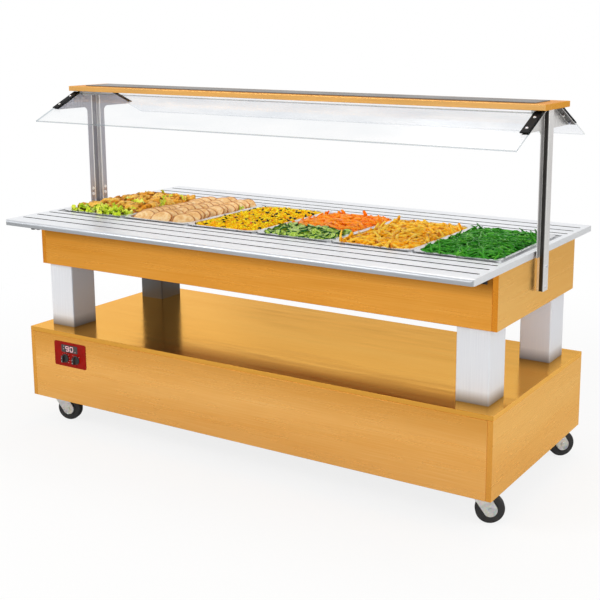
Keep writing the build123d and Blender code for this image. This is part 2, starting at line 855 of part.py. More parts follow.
def pan(x_place):
    """A full-size pan: drawn walls with draft, round corners, a flat rim and its turned-down edge."""
    length = pan_pitch - pan_gap
    edge_corner = pan_corner * 0.6
    rim_low = pan_rim_top - pan_rim_drop
    rim = rounded_prism(length, pan_length, edge_corner, rim_low, pan_rim_top)
    rim -= rounded_prism(
        length - 2 * pan_sheet, pan_length - 2 * pan_sheet, edge_corner - pan_sheet,
        rim_low - 1, pan_rim_top - pan_sheet,
    )
    mouth_x = length - 2 * pan_rim_width
    mouth_y = pan_length - 2 * pan_rim_width

    def drawn(grow, top, depth):
        outline = RectangleRounded(mouth_x + 2 * grow, mouth_y + 2 * grow, pan_corner + grow)
        form = extrude(Pos(0, 0, top) * outline, -depth, taper=pan_draft)
        return fillet(form.edges().group_by(Axis.Z)[0], pan_base_fillet + grow)

    outside = drawn(pan_sheet, pan_rim_top - 0.2, pan_depth - 0.2)
    inside = drawn(0, pan_rim_top, pan_depth - pan_sheet)
    shape = rim + outside - inside
    return Pos(x_place, 0, 0) * shape


# Casters

def caster_plate():
    """A fixed top plate with its upper race and the kingpin, around the swivel axis."""
    top = chassis_bottom
    plate = rounded_prism(plate_long, plate_wide, 8, top - plate_sheet, top)
    for x_side in (-1, 1):
        for y_side in (-1, 1):
            spot = Pos(x_side * plate_bolt_x / 2, y_side * plate_bolt_y / 2, top - plate_sheet - 1)
            plate -= spot * extrude(SlotOverall(13, 9), plate_sheet + 2)
    race = Polyline(
        (0, race_top + free_gap), (race_radius - 1, race_top + free_gap),
        (race_radius - 1, race_top + 3), (race_radius - 4, top - plate_sheet), (0, top - plate_sheet),
        close=True,
    )
    plate += revolve(Plane.XZ * make_face(race), Axis.Z)
    head_top = fork_crown - fork_sheet - free_gap
    plate += rod((0, 0, head_top - 2.5), (0, 0, 1), kingpin_radius, top - plate_sheet - head_top + 3)
    plate += rod((0, 0, head_top), (0, 0, -1), 10, 3)
    return plate


def fork_leg_outline(braked):
    """The side view of a fork leg: a broad shoulder that runs down to a round end over the axle."""
    disc = Pos(trail, wheel_radius) * Circle(fork_disc)
    shoulder = Pos(5, fork_crown - 4) * Rectangle(54, 8)
    leg = make_hull(disc.edges() + shoulder.edges())
    if braked:
        ear = Pos(pedal_hinge_x, pedal_hinge_z) * Circle(6.5)
        root = Pos(trail - 12, fork_crown - 9) * Rectangle(20, 18)
        leg += make_hull(ear.edges() + root.edges())
    return leg


def fork(braked):
    """A pressed fork around the swivel axis, with its lower race, two legs and the axle bolt."""
    lower_race = Polyline(
        (0, fork_crown - 1), (race_radius - 4, fork_crown - 1), (race_radius, fork_crown + 5),
        (race_radius, race_top - 1), (race_radius - 1, race_top), (0, race_top), close=True,
    )
    shape = revolve(Plane.XZ * make_face(lower_race), Axis.Z)
    outer = fork_half_gap + fork_sheet
    shape += block((-22, 32), both(outer), (fork_crown - fork_sheet, fork_crown))
    side_view = fork_leg_outline(braked)
    bead = Pos(trail, wheel_radius) * (Circle(fork_disc) - Circle(fork_disc - 3.5))
    for side in (-1, 1):
        plane = Plane(origin=(0, side * fork_half_gap, 0), x_dir=(1, 0, 0), z_dir=(0, -1, 0))
        shape += extrude(plane * side_view, -side * fork_sheet)
        shape += extrude(plane * bead, -side * (fork_sheet + 1))
        shape += rod((trail, side * outer, wheel_radius), (0, side, 0), 7.5, 3.5)
    shape += rod((trail, -outer - 1, wheel_radius), (0, 1, 0), axle_radius, 2 * outer + 2)
    if braked:
        pin_start = (pedal_hinge_x, -outer - 1, pedal_hinge_z)
        shape += rod(pin_start, (0, 1, 0), pedal_pin_radius, 2 * outer + 2)
    return shape - rod((0, 0, fork_crown - fork_sheet - 1), (0, 0, 1), kingpin_radius + running_gap, 20)


def turned_wheel(points):
    """A ring about the wheel's axle from half of its section, given as radius and half width."""
    section = make_face(Polyline(*points, close=True))
    ring = revolve(Plane.XZ * section, Axis.Z)
    return Pos(trail, 0, wheel_radius) * Rot(90, 0, 0) * ring


def hub():
    """The wheel's centre: a bearing tube, a thin web and a rim that holds the tyre."""
    bore = axle_radius + running_gap
    half_tube = fork_half_gap - free_gap
    return turned_wheel([
        (bore, -half_tube), (11, -half_tube), (11, -4), (29, -4), (29, -12), (36, -12),
        (36, 12), (29, 12), (29, 4), (11, 4), (11, half_tube), (bore, half_tube),
    ])


def tyre():
    """The rubber tyre, moulded over the rim and down both its sides."""
    half = wheel_width / 2
    shoulder = 7
    flank = [(36, -12), (25, -12), (25, -half)]
    turn = [
        (
            wheel_radius - shoulder + shoulder * sin(radians(angle)),
            -half + shoulder - shoulder * cos(radians(angle)),
        )
        for angle in (0, 30, 60, 90)
    ]
    near_side = flank + turn
    far_side = [(radius, -width) for radius, width in reversed(near_side)]
    return turned_wheel(near_side + far_side)


def brake_pedal():
    """The foot brake: a shoe that follows the tyre and a tread that stands out behind the wheel."""
    points = [
        (64, 106), (60.5, 100), (63.5, 95), (70, 92.3), (80, 84.6), (90, 74.6), (97, 75), (98.5, 83),
        (88, 97), (72, 106),
    ]
    side_view = make_face(Polyline(*points, close=True))
    plane = Plane(origin=(0, pedal_half_width, 0), x_dir=(1, 0, 0), z_dir=(0, -1, 0))
    shape = extrude(plane * side_view, 2 * pedal_half_width)
    eye = fork_half_gap - free_gap
    start = (pedal_hinge_x, -eye, pedal_hinge_z)
    shape += rod(start, (0, 1, 0), pedal_eye_radius, 2 * eye)
    return shape - rod(start, (0, 1, 0), pedal_pin_radius + running_gap, 2 * eye)


def placed(shape, name):
    """A caster piece set on its own corner of the base and turned to where its wheel trails."""
    x_side, y_side, heading, _ = casters[name]
    return Pos(x_side * caster_x, y_side * caster_y, 0) * Rot(0, 0, heading) * shape


# Every piece of the buffet by its name

pieces = {
    "base_front_panel": base_front_panel(),
    "base_rear_panel": base_rear_panel(),
    "base_left_panel": base_end_panel(-1),
    "base_right_panel": base_end_panel(1),
    "base_shelf": base_shelf(),
    "base_chassis": base_chassis(),
    "column_front_left": column(-1, -1),
    "column_front_right": column(1, -1),
    "column_rear_left": column(-1, 1),
    "column_rear_right": column(1, 1),
    "body_front_panel": body_long_panel(-1),
    "body_rear_panel": body_long_panel(1),
    "body_left_panel": body_end_panel(-1),
    "body_right_panel": body_end_panel(1),
    "body_floor": body_floor(),
    "worktop": worktop(),
    "worktop_brackets": worktop_brackets(),
    "well_tank": well_tank(),
    "pan_support_bars": pan_support_bars(),
    "heating_elements": heating_elements(),
    "drain_valve": drain_valve(),
    "drain_lever": drain_lever(),
    "control_box": control_box(),
    "control_plate": control_plate(),
    "display_window": display_window(),
    "cable_gland": cable_gland(),
    "post_left": mirror(post(), Plane.YZ),
    "post_right": post(),
    "canopy_frame": canopy_frame(),
    "canopy_cover": canopy_cover(),
    "lamp_housing": lamp_housing(),
    "lamp_tubes": lamp_tubes(),
    "lamp_cover": lamp_cover(),
    "glass_front": mirror(glass_pane(), Plane.XZ),
    "glass_rear": glass_pane(),
    "glass_clamps": glass_clamps(),
    "button_screws": button_screws(),
    "caster_plates": [
        Pos(x_side * caster_x, y_side * caster_y, 0) * caster_plate()
        for x_side in (-1, 1) for y_side in (-1, 1)
    ],
}
for name, x_place in knob_spots.items():
    pieces[name] = knob(x_place)
for number, x_place in enumerate(pan_rows, start=1):
    pieces[f"pan_{number}"] = pan(x_place)
for name, (_, _, _, braked) in casters.items():
    pieces[f"caster_fork_{name}"] = placed(fork(braked), name)
    pieces[f"caster_hub_{name}"] = placed(hub(), name)
    pieces[f"caster_tyre_{name}"] = placed(tyre(), name)
    if braked:
        pieces[f"brake_pedal_{name}"] = placed(brake_pedal(), name)

os.makedirs("parts", exist_ok=True)
for name, shape in pieces.items():
    solids = shape if isinstance(shape, list) else [shape]
    export_step(Compound(children=[Part(one.wrapped) for one in solids]), f"parts/{name}.step")
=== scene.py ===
# %% [markdown]
# # A mobile heated buffet
# Six pans of hot food stand in a water well, on a counter of gold faced boards that rolls on four casters.
# The frame that is loaded here has every solid piece in its true place. This lesson gives each of them its
# finish, builds what is too fine or too soft for solids, and sets up the studio.

# %% Load the frame
import bpy
import bmesh
import json
import math
import random
from mathutils import Euler, Matrix, Vector, noise

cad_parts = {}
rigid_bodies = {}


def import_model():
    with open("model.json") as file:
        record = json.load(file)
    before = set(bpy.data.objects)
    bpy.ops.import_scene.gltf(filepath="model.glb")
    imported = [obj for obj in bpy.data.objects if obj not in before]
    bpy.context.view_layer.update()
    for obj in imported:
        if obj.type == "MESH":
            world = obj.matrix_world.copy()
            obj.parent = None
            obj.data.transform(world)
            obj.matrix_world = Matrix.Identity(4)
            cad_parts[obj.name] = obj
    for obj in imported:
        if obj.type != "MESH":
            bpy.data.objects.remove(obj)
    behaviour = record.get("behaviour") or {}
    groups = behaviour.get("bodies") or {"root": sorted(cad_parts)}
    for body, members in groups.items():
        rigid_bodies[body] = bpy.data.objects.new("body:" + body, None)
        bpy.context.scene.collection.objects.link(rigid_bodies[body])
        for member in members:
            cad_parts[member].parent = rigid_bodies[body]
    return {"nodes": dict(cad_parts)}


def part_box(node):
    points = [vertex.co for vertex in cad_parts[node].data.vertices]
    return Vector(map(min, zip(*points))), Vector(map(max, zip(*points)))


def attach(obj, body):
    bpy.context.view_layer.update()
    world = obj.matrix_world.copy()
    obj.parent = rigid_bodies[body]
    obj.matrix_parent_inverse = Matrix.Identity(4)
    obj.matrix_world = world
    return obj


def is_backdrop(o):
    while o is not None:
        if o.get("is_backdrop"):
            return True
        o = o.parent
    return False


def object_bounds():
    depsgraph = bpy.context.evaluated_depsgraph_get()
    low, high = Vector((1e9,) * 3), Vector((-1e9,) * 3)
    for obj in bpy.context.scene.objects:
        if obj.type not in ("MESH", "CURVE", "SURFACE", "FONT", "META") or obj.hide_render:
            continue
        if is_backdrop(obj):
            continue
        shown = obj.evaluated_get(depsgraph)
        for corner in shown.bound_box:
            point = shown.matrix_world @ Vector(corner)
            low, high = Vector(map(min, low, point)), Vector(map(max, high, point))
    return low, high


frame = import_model()
nodes = frame["nodes"]
scene = bpy.context.scene
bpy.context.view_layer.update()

# %% [markdown]
# ## The camera
# The photograph was taken from the front right, a little above the food. A longer lens from further off
# would flatten the counter, and a short one would swell its near corner, so the lens and the distance come
# from the way the long edges run together. The view looks down a little, and the object sits off the middle of
# the picture by a lens shift.

# %% Set the camera
view_azimuth = math.radians(31.36)
view_elevation = math.radians(11.28)
eye = Vector((2.3490, -3.5175, 1.6328))
lens_length = 66.26
frame_shift = (-0.0653, -0.0935)

back = Vector((
    math.sin(view_azimuth) * math.cos(view_elevation),
    -math.cos(view_azimuth) * math.cos(view_elevation),
    math.sin(view_elevation),
))
lens = bpy.data.cameras.new("camera")
lens.lens = lens_length
lens.sensor_width = 36
lens.shift_x, lens.shift_y = frame_shift
lens.clip_end = 100
camera = bpy.data.objects.new("camera", lens)
camera.location = eye
camera.rotation_euler = (-back).to_track_quat("-Z", "Y").to_euler()
scene.collection.objects.link(camera)
scene.camera = camera

# %% [markdown]
# ## A bench for node trees
# Materials, the studio and the food are all node trees. Adding a node, setting its sockets and joining it to
# the one before takes several lines each time, so a small bench does these three things in one call: a
# socket that is given another socket is joined to it, a web colour is turned into the linear values that nodes
# expect, and anything else is set as it is. The steps that every kind of tree needs are methods of the bench.

# %% The bench
def colour(code):
    """A web colour as the linear values that nodes expect."""
    parts = [int(code[place:place + 2], 16) / 255 for place in (1, 3, 5)]
    linear = [part / 12.92 if part <= 0.04045 else ((part + 0.055) / 1.055) ** 2.4 for part in parts]
    return (*linear, 1.0)


def named(sockets, name):
    """The socket of that name that a node has in its present mode."""
    return next(one for one in sockets if one.enabled and one.name == name)


class Bench:
    """Builds one node tree."""

    def __init__(self, tree):
        self.tree = tree

    def add(self, kind, sockets=None, **settings):
        """A new node, with its settings made and its sockets filled."""
        node = self.tree.nodes.new(kind)
        for name, value in settings.items():
            setattr(node, name, value)
        for name, value in (sockets or {}).items():
            socket = node.inputs[name] if isinstance(name, int) else named(node.inputs, name)
            if isinstance(value, bpy.types.NodeSocket):
                self.tree.links.new(value, socket)
            elif isinstance(value, str) and value.startswith("#"):
                socket.default_value = colour(value)
            else:
                socket.default_value = value
        return node

    def take(self, kind, output, sockets=None, **settings):
        """One output of a new node."""
        return named(self.add(kind, sockets, **settings).outputs, output)

    def calc(self, operation, *values):
        """One step of arithmetic on numbers or sockets."""
        return self.take("ShaderNodeMath", "Value", dict(enumerate(values)), operation=operation)

    def span(self, value, low, high, start=0.3, end=0.7, curve="LINEAR"):
        """The part of a value between start and end, laid onto low to high."""
        return self.take("ShaderNodeMapRange", "Result", {
            "Value": value, "From Min": start, "From Max": end, "To Min": low, "To Max": high,
        }, interpolation_type=curve)

    def mix(self, share, first, second, kind="RGBA"):
        """The first colour, or number, with a share of the second laid over it."""
        return self.take("ShaderNodeMix", "Result", {"Factor": share, "A": first, "B": second}, data_type=kind)

    def blend(self, share, first, second):
        """The first shader with a share of the second."""
        return self.take("ShaderNodeMixShader", "Shader", {0: share, 1: first, 2: second})

    def seen(self, rays):
        """One where the camera looks, straight or through glass."""
        return self.calc("MAXIMUM", rays["Is Camera Ray"], rays["Is Transmission Ray"])


def blank_material(name):
    """A new material with an empty tree."""
    material = bpy.data.materials.new(name)
    material.use_nodes = True
    material.node_tree.nodes.clear()
    return material


# %% [markdown]
# ## The studio
# A pale floor and a white room light the counter softly from all round, and three large lamps give the sheet
# metal something to reflect. The room is white for the camera, for glass and for gloss, but for a grey card at
# the rear right that the mirror-like shelf picks up. A low lamp in front reaches under the body. It lights but
# isn't mirrored, or the shelf would glare from behind. A strip under the canopy stands for the light of the
# heat lamps on the food. The floor turns to plain white further out, so that no horizon shows, and keeps the
# shadow near the counter.

# %% Room
fill_level = 0.62
gloss_below = 0.72
card_grey = 0.5
card_side, card_foot, card_head = (-0.80, -0.70), (0.26, 0.30), (0.325, 0.37)
room = bpy.data.worlds.new("room")
room.use_nodes = True
room.node_tree.nodes.clear()
scene.world = room
bench = Bench(room.node_tree)
rays = bench.add("ShaderNodeLightPath").outputs
direction = bench.take("ShaderNodeTexCoord", "Generated")
heading = bench.add("ShaderNodeSeparateXYZ", {"Vector": direction}).outputs
slope = bench.calc("DIVIDE", heading["Z"], heading["Y"])
aside = bench.calc("DIVIDE", heading["X"], heading["Y"])
card_height = bench.calc("MULTIPLY", bench.span(slope, 0.0, 1.0, *card_foot), bench.span(slope, 1.0, 0.0, *card_head))
card_part = bench.calc("MULTIPLY", card_height, bench.calc("GREATER_THAN", heading["Z"], 0.0))
card = bench.mix(card_part, 1.0, bench.span(aside, 1.0, card_grey, *card_side), "FLOAT")
mirrored = bench.calc("MULTIPLY", bench.span(heading["Z"], gloss_below, 1.0, -0.2, 0.15), card)
lit = bench.mix(rays["Is Glossy Ray"], fill_level, mirrored, "FLOAT")
level = bench.mix(bench.seen(rays), lit, 1.0, "FLOAT")
wall = bench.take("ShaderNodeBackground", "Background", {"Color": "#FFFFFF", "Strength": level})
bench.add("ShaderNodeOutputWorld", {"Surface": wall})
print("the room takes", len(room.node_tree.nodes), "nodes")


# %% Lamps
def soft_lamp(name, place, size, watts, aim=(0, 0, 0.8)):
    """A rectangular lamp that looks at a point, by default the middle of the counter."""
    light = bpy.data.lights.new(name, "AREA")
    light.shape = "RECTANGLE"
    light.size, light.size_y = size
    light.energy = watts
    lamp = bpy.data.objects.new(name, light)
    lamp.location = place
    lamp.rotation_euler = (Vector(aim) - Vector(place)).to_track_quat("-Z", "Y").to_euler()
    scene.collection.objects.link(lamp)
    return lamp


soft_lamp("key", (-2.4, -3.6, 3.4), (2.6, 1.8), 88)
soft_lamp("side", (4.2, 0.2, 2.6), (1.8, 2.4), 40)
soft_lamp("top", (0.2, 0.6, 4.2), (3.2, 1.6), 34)
soft_lamp("heat", (0, 0, 1.33), (1.9, 0.05), 0.7)
low_lamp = soft_lamp("low", (2.8, -4.0, 1.0), (1.8, 1.0), 24, (0.3, 0, 0.5))
low_lamp.visible_glossy = False

# %% Floor
floor_reach = 14.0
white_from, white_to = 1.3, 3.2
white_near = 0.82
sheet = bmesh.new()
bmesh.ops.create_grid(sheet, x_segments=2, y_segments=2, size=floor_reach)
floor_mesh = bpy.data.meshes.new("floor")
sheet.to_mesh(floor_mesh)
sheet.free()
floor = bpy.data.objects.new("floor", floor_mesh)
scene.collection.objects.link(floor)
floor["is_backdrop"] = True
pale = blank_material("pale floor")
bench = Bench(pale.node_tree)
rays = bench.add("ShaderNodeLightPath").outputs
place = bench.take("ShaderNodeTexCoord", "Object")
away = bench.take("ShaderNodeVectorMath", "Value", {0: place}, operation="LENGTH")
fade = bench.span(away, white_near, 1.0, white_from, white_to, "SMOOTHSTEP")
matt = bench.take("ShaderNodeBsdfDiffuse", "BSDF", {"Color": "#F4F4F2"})
glow = bench.take("ShaderNodeEmission", "Emission", {"Color": "#FFFFFF", "Strength": 1.0})
ground = bench.blend(bench.calc("MULTIPLY", bench.seen(rays), fade), matt, glow)
bench.add("ShaderNodeOutputMaterial", {"Surface": ground})
floor.data.materials.append(pale)
scene.view_settings.view_transform = "Standard"
print("the floor is plain white beyond", white_to, "metres")

# %% [markdown]
# ## Patterns that finishes share
# Real surfaces differ from one hand's breadth to the next. Every finish below starts from noise in the piece's own
# space, drawn out along the grain or the brushing. The same few steps recur: stretch the noise, give it
# colours, let it move the gloss, and let it raise a relief of a few hundredths of a millimetre. A share says
# where a further tone lies, from zero to one: along the edges, under a ledge, or on the faces that look one way.
# Most of these further tones are painted light: painted shade, painted highlights and painted reflections.

# %% Patterns
class Finish(Bench):
    """A bench with a new material on it, and the steps that its patterns share."""

    def __init__(self, name):
        self.material = blank_material(name)
        super().__init__(self.material.node_tree)

    def cover(self, sockets):
        """Ends the material with a main shader that gets these sockets."""
        shader = self.take("ShaderNodeBsdfPrincipled", "BSDF", sockets)
        self.add("ShaderNodeOutputMaterial", {"Surface": shader})
        return self.material

    def grain(self, scale, detail=3, start=0.0, stretch=(1, 1, 1)):
        """Noise in the piece's own space, in waves per metre, drawn out where the stretch is small."""
        moved = self.take("ShaderNodeMapping", "Vector", {
            "Vector": self.take("ShaderNodeTexCoord", "Object"), "Scale": stretch, "Location": (start, start, start)})
        return self.take("ShaderNodeTexNoise", "Fac", {"Vector": moved, "Scale": scale, "Detail": detail})

    def ramp(self, value, *stops):
        """Colours laid along a value from zero to one."""
        node = self.add("ShaderNodeValToRGB", {"Fac": value})
        points = node.color_ramp.elements
        while len(points) < len(stops):
            points.new(0.5)
        for point, (place, code) in zip(points, stops):
            point.position = place
            point.color = colour(code)
        return node.outputs["Color"]

    def noted(self, name):
        """A value that the mesh carries under that name."""
        return self.take("ShaderNodeAttribute", "Fac", attribute_name=name)

    def relief(self, height, depth, strength=0.5, under=None):
        """Dents and ridges of a depth in metres, on top of another relief where one is given."""
        sockets = {"Height": height, "Strength": strength, "Distance": depth}
        if under:
            sockets["Normal"] = under
        return self.take("ShaderNodeBump", "Normal", sockets)

    def soft_edge(self, radius):
        """Normals that turn over an edge as if it were broken by a small round."""
        return self.take("ShaderNodeBevel", "Normal", {"Radius": radius}, samples=4)

    def edge_wear_and_highlight(self, radius):
        """One along the edges and zero on the flats."""
        true = self.take("ShaderNodeNewGeometry", "Normal")
        lean = self.take("ShaderNodeVectorMath", "Value", {0: self.soft_edge(radius), 1: true},
                         operation="DOT_PRODUCT")
        return self.span(lean, 1.0, 0.0, 0.78, 0.99)

    def in_space(self, output):
        """The three parts of a place or a normal in the piece's own space."""
        return self.add("ShaderNodeSeparateXYZ", {"Vector": self.take("ShaderNodeTexCoord", output)}).outputs

    def aside(self, output, axis):
        """How far a place or a normal goes along an axis, either way."""
        return self.calc("ABSOLUTE", self.in_space(output)[axis])

    def between(self, value, low, high):
        """One where a value lies between two limits."""
        return self.calc("MULTIPLY", self.calc("GREATER_THAN", value, low), self.calc("LESS_THAN", value, high))

    def shaded(self, tone, shades):
        """Lays one colour after another over a tone, each where its own share says."""
        for share, code in shades:
            tone = self.mix(share(self), tone, code)
        return tone


# %% Plain finishes and simple shares
facing_limit = 0.6


def clouded(name, cloud, tones, gloss, others=None, edge=0, skin=None):
    """A plain finish: one noise lays the tones and moves the gloss, and a finer one may stand as a skin."""
    look = Finish(name)
    pattern = look.grain(*cloud)
    sockets = {"Base Color": look.ramp(pattern, *tones), "Roughness": look.span(pattern, *gloss), **(others or {})}
    if edge:
        sockets["Normal"] = look.soft_edge(edge)
    if skin:
        finer, depth, strength = skin
        sockets["Normal"] = look.relief(look.grain(*finer), depth, strength)
    return look.cover(sockets)


def drawn_out(along, drawn, across):
    """A stretch for noise that follows the x, y or z axis."""
    return [drawn if axis == along else across for axis in "xyz"]


def faces_along(axis):
    """A share that is one on the faces that look along an axis, either way."""
    return lambda look: look.calc("GREATER_THAN", look.aside("Normal", axis), facing_limit)


def below(top, depth, strongest):
    """A share for painted shade: strongest just below a height, fading out over a depth, as under a ledge."""
    return lambda look: look.span(look.in_space("Object")["Z"], 0.0, strongest, top - depth, top)


def dress(material, *names):
    """Gives a finish to pieces of the frame by name."""
    for name in names:
        piece = nodes[name]
        piece.data.materials.clear()
        piece.data.materials.append(material)
    print(f"{material.name}: {', '.join(names)}")


# %% [markdown]
# ## Gold faced boards
# The boxes and the canopy are particle board under a gold metal foil, brushed along the board and lacquered. Foil
# tints what it mirrors, which is why the shelf stays orange even where it is seen at a glancing angle. The
# brushing follows the length of each board, so the end panels have it along the counter's depth. Three layers
# make it: broad bands, fine streaks, and thin dark pores that also dent the lacquer a little. The edges are a
# paler gold, partly rubbed wear and partly a painted highlight. The foil is the same on every board, but its
# tones carry painted light: the body's are deeper, painted shade under the worktop, with a painted shadow that
# fades down from the overhang; the top of the base has painted shade under the shelf; the end panels are paler,
# painted light. The end panels run through to the front, where their edge is painted in the darker front tone,
# as shade. The underside of the body is painted dark brown, as board in shade.

# %% Boards
def faced_board(name, along, tones, gloss, glance="#F0B868", shades=()):
    """Foil in tones from dark to light. The glance tints what a grazing view mirrors."""
    dark, middle, light = tones
    look = Finish(name)
    band = drawn_out(along, 0.35, 4)
    streaks = look.grain(6, 6, stretch=drawn_out(along, 0.7, 60))
    pores = look.grain(3, 2, 7.0, drawn_out(along, 5, 420))
    figure = look.ramp(streaks, (0.28, dark), (0.50, middle), (0.72, light))
    bands = look.ramp(look.grain(2.2, 2, 3.0, band), (0.3, dark), (0.7, light))
    tone = look.mix(0.40, figure, bands)
    tone = look.mix(look.span(pores, 0.0, 0.05, 0.60, 0.72), tone, "#A8640C")
    # Paler gold along the edges: partly rubbed wear, partly a painted highlight.
    tone = look.mix(look.span(look.edge_wear_and_highlight(board_round), 0, 0.2, 0.2, 0.9), tone, "#F7CF7C")
    return look.cover({
        "Base Color": look.shaded(tone, shades),
        "Metallic": 0.92,
        "Specular Tint": glance,
        "Roughness": look.span(look.grain(9, 3, 1.5, band), *gloss),
        "Normal": look.relief(pores, 0.00002, 0.15, look.soft_edge(board_round)),
    })


board_round = 0.0012
overhang_end = 0.820
base_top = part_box("base_front_panel")[1].z
# A painted shadow under the worktop's overhang, darkest at the top of the body's boards.
shade_under_worktop = [(below(overhang_end, 0.050, 0.85), "#7A4812")]
# Painted shade along the top of the base's boards, under the shelf.
shade_under_shelf = [(below(base_top, 0.110, 0.6), "#C28430")]
# The end panels get paler tones than the fronts: painted light on the ends.
lit_end_looks = ("y", ("#EFB464", "#F3BE70", "#F7C87E"), (0.20, 0.30), "#FFE6BC")
# The body's boards get deeper tones than the base's: painted shade under the worktop.
dress(faced_board("gold board of the body", "x", ("#DB8E2E", "#E29A3C", "#E9A64C"), (0.24, 0.34), shades=shade_under_worktop),
      "body_front_panel", "body_rear_panel")
dress(faced_board("gold board of the base", "x", ("#E3A250", "#E9AE5E", "#EFBA70"), (0.24, 0.34), shades=shade_under_shelf),
      "base_front_panel", "base_rear_panel")
dress(faced_board("gold board of the canopy", "x", ("#E8AA58", "#EEB466", "#F4C078"), (0.24, 0.34)), "canopy_frame")
# The shelf's faces that look along Y take a darker tone: painted shade.
dress(faced_board("gold board of the shelf", "x", ("#F2B45A", "#F6BC64", "#FAC672"), (0.12, 0.20), "#FFE2B0",
                  [(faces_along("Y"), "#D2983F")]), "base_shelf")
# The faces of the end panels that look along Y take the darker front tone: painted shade.
dress(faced_board("gold board of the body's ends", *lit_end_looks, [(faces_along("Y"), "#D88A2A")]),
      "body_left_panel", "body_right_panel")
dress(faced_board("gold board of the base's ends", *lit_end_looks, [(faces_along("Y"), "#DA9A44")]),
      "base_left_panel", "base_right_panel")
# The body's underside is painted dark brown: painted shade, which the shelf mirrors.
dress(faced_board("bare board under the body", "x", ("#7A4414", "#86501C", "#935C26"), (0.50, 0.62)), "body_floor")

# %% [markdown]
# ## Stainless steel
# The worktop, the columns and the posts are folded from brushed sheet. Brushing leaves fine lines that run one way,
# so a highlight spreads across them. Lines of noise move the gloss and raise a relief, and broad soft patches
# stand for handling. The same function brushes each piece along its own length. Single faces get painted light of
# their own: painted shade in the grooves of the worktop and a painted reflection of the floor on its rolled edges,
# painted shade in the channels of the posts and painted highlights along their folds, and painted shade on the
# inward faces and the feet of the columns. The rear right column is a paler copy of the steel, painted light, and
# the left post a darker one, painted shade.

# %% Shares of single faces
slide_span, slide_reach = (0.300, 0.480), 0.996
slide_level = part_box("worktop")[1].z
groove_depths = (slide_level - 0.0003, slide_level - 0.00005)
nose_from = 0.525
channel_from = 1.0186
fold_span = (0.0200, 0.0262)
column_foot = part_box("column_front_left")[0].z
foot_height = 0.045


def groove_shade_share(look):
    """One inside the pressed grooves of the tray slides, for the painted shade that darkens them."""
    on_slide = look.calc("MULTIPLY", look.between(look.aside("Object", "Y"), *slide_span),
                         look.calc("LESS_THAN", look.aside("Object", "X"), slide_reach))
    return look.calc("MULTIPLY", on_slide, look.span(look.in_space("Object")["Z"], 1.0, 0.0, *groove_depths))


def nose_share(look):
    """One where the long edges of the worktop roll over, which mirror the darker floor."""
    outside = look.calc("GREATER_THAN", look.aside("Object", "Y"), nose_from)
    return look.calc("MULTIPLY", look.span(look.aside("Normal", "Y"), 0.0, 1.0, 0.25, 0.80), outside)


def channel_shade_share(look):
    """One on the cheeks of a post's channel and half on its floor, for the painted shade inside the channel."""
    place = look.in_space("Object")["X"]
    outwards = look.calc("MULTIPLY", look.calc("SIGN", place), look.in_space("Normal")["X"])
    shut = look.calc("LESS_THAN", outwards, facing_limit)
    deep = look.calc("GREATER_THAN", look.calc("ABSOLUTE", place), channel_from)
    cheek = look.calc("SUBTRACT", 1.0, look.calc("MULTIPLY", look.calc("ABSOLUTE", outwards), 0.5))
    return look.calc("MULTIPLY", look.calc("MULTIPLY", shut, deep), cheek)


def fold_highlight_share(look):
    """One along the folds beside a post's channel, for a painted highlight there."""
    return look.between(look.aside("Object", "Y"), *fold_span)


def inward_shade_share(look):
    """Most on the faces of the left columns that look over the shelf: a painted dark reflection of the dim space
    there.
    """
    place, facing = look.in_space("Object"), look.in_space("Normal")
    left = look.calc("LESS_THAN", place["X"], 0.0)
    across = look.calc("GREATER_THAN", facing["X"], facing_limit)
    forwards = look.calc("MULTIPLY", look.calc("LESS_THAN", facing["Y"], -facing_limit),
                         look.calc("GREATER_THAN", place["Y"], 0.0))
    inward = look.calc("MULTIPLY", left, look.calc("MAXIMUM", across, forwards))
    return look.calc("MULTIPLY", inward, 0.9)


def foot_shade_share(look):
    """Strongest where a column meets the shelf: painted shade in that corner."""
    return look.span(look.in_space("Object")["Z"], 0.85, 0.0, column_foot, column_foot + foot_height)


# %% Brushed sheet
def brushed(name, along, light, dark, gloss, edge=0.0010, metal=1.0, shades=()):
    look = Finish(name)
    marks = look.grain(900, stretch=drawn_out(along, 0.004, 1))
    patches = look.grain(3.5, start=4.0)
    tone = look.mix(look.span(patches, 0.0, 0.35), look.ramp(marks, (0.3, dark), (0.7, light)), dark)
    return look.cover({
        "Base Color": look.shaded(tone, shades),
        "Metallic": metal,
        "Roughness": look.calc("ADD", look.span(marks, *gloss), look.span(patches, -0.04, 0.05)),
        "Normal": look.relief(marks, 0.00003, 0.6, look.soft_edge(edge) if edge else None),
    })


upright = ("z", "#E8EAEE", "#D6D8DE", (0.32, 0.44))
dress(brushed("bright steel, brushed along X", "x", "#F6F7F9", "#E2E4E8", (0.34, 0.46), 0,
              shades=[(groove_shade_share, "#060607"), (nose_share, "#A9ACB0")]), "worktop")
dress(brushed("steel, brushed upwards", *upright, metal=0.22,
              shades=[(inward_shade_share, "#BCC6D4"), (foot_shade_share, "#4C525A")]), "column_front_left", "column_front_right")
# A pale, nearly matt copy of the column steel: painted light on the rear right column's front; its sides keep the
# column tone.
dress(brushed("steel of the rear right column", "z", "#F4F7FF", "#E8EEFA", (0.32, 0.44), metal=0.04,
              shades=[(faces_along("X"), "#D6D8DE"), (foot_shade_share, "#5C6470")]), "column_rear_right")
# The inward faces of the rear left column are painted almost black: painted shade.
dress(brushed("steel of the rear left column", *upright, metal=0.3, shades=[(inward_shade_share, "#14191E")]),
      "column_rear_left")
dress(brushed("satin steel of the posts", "z", "#F2F0EE", "#DAD8D7", (0.24, 0.36), 0.0006, 0.8,
              [(channel_shade_share, "#343230")]), "post_right")
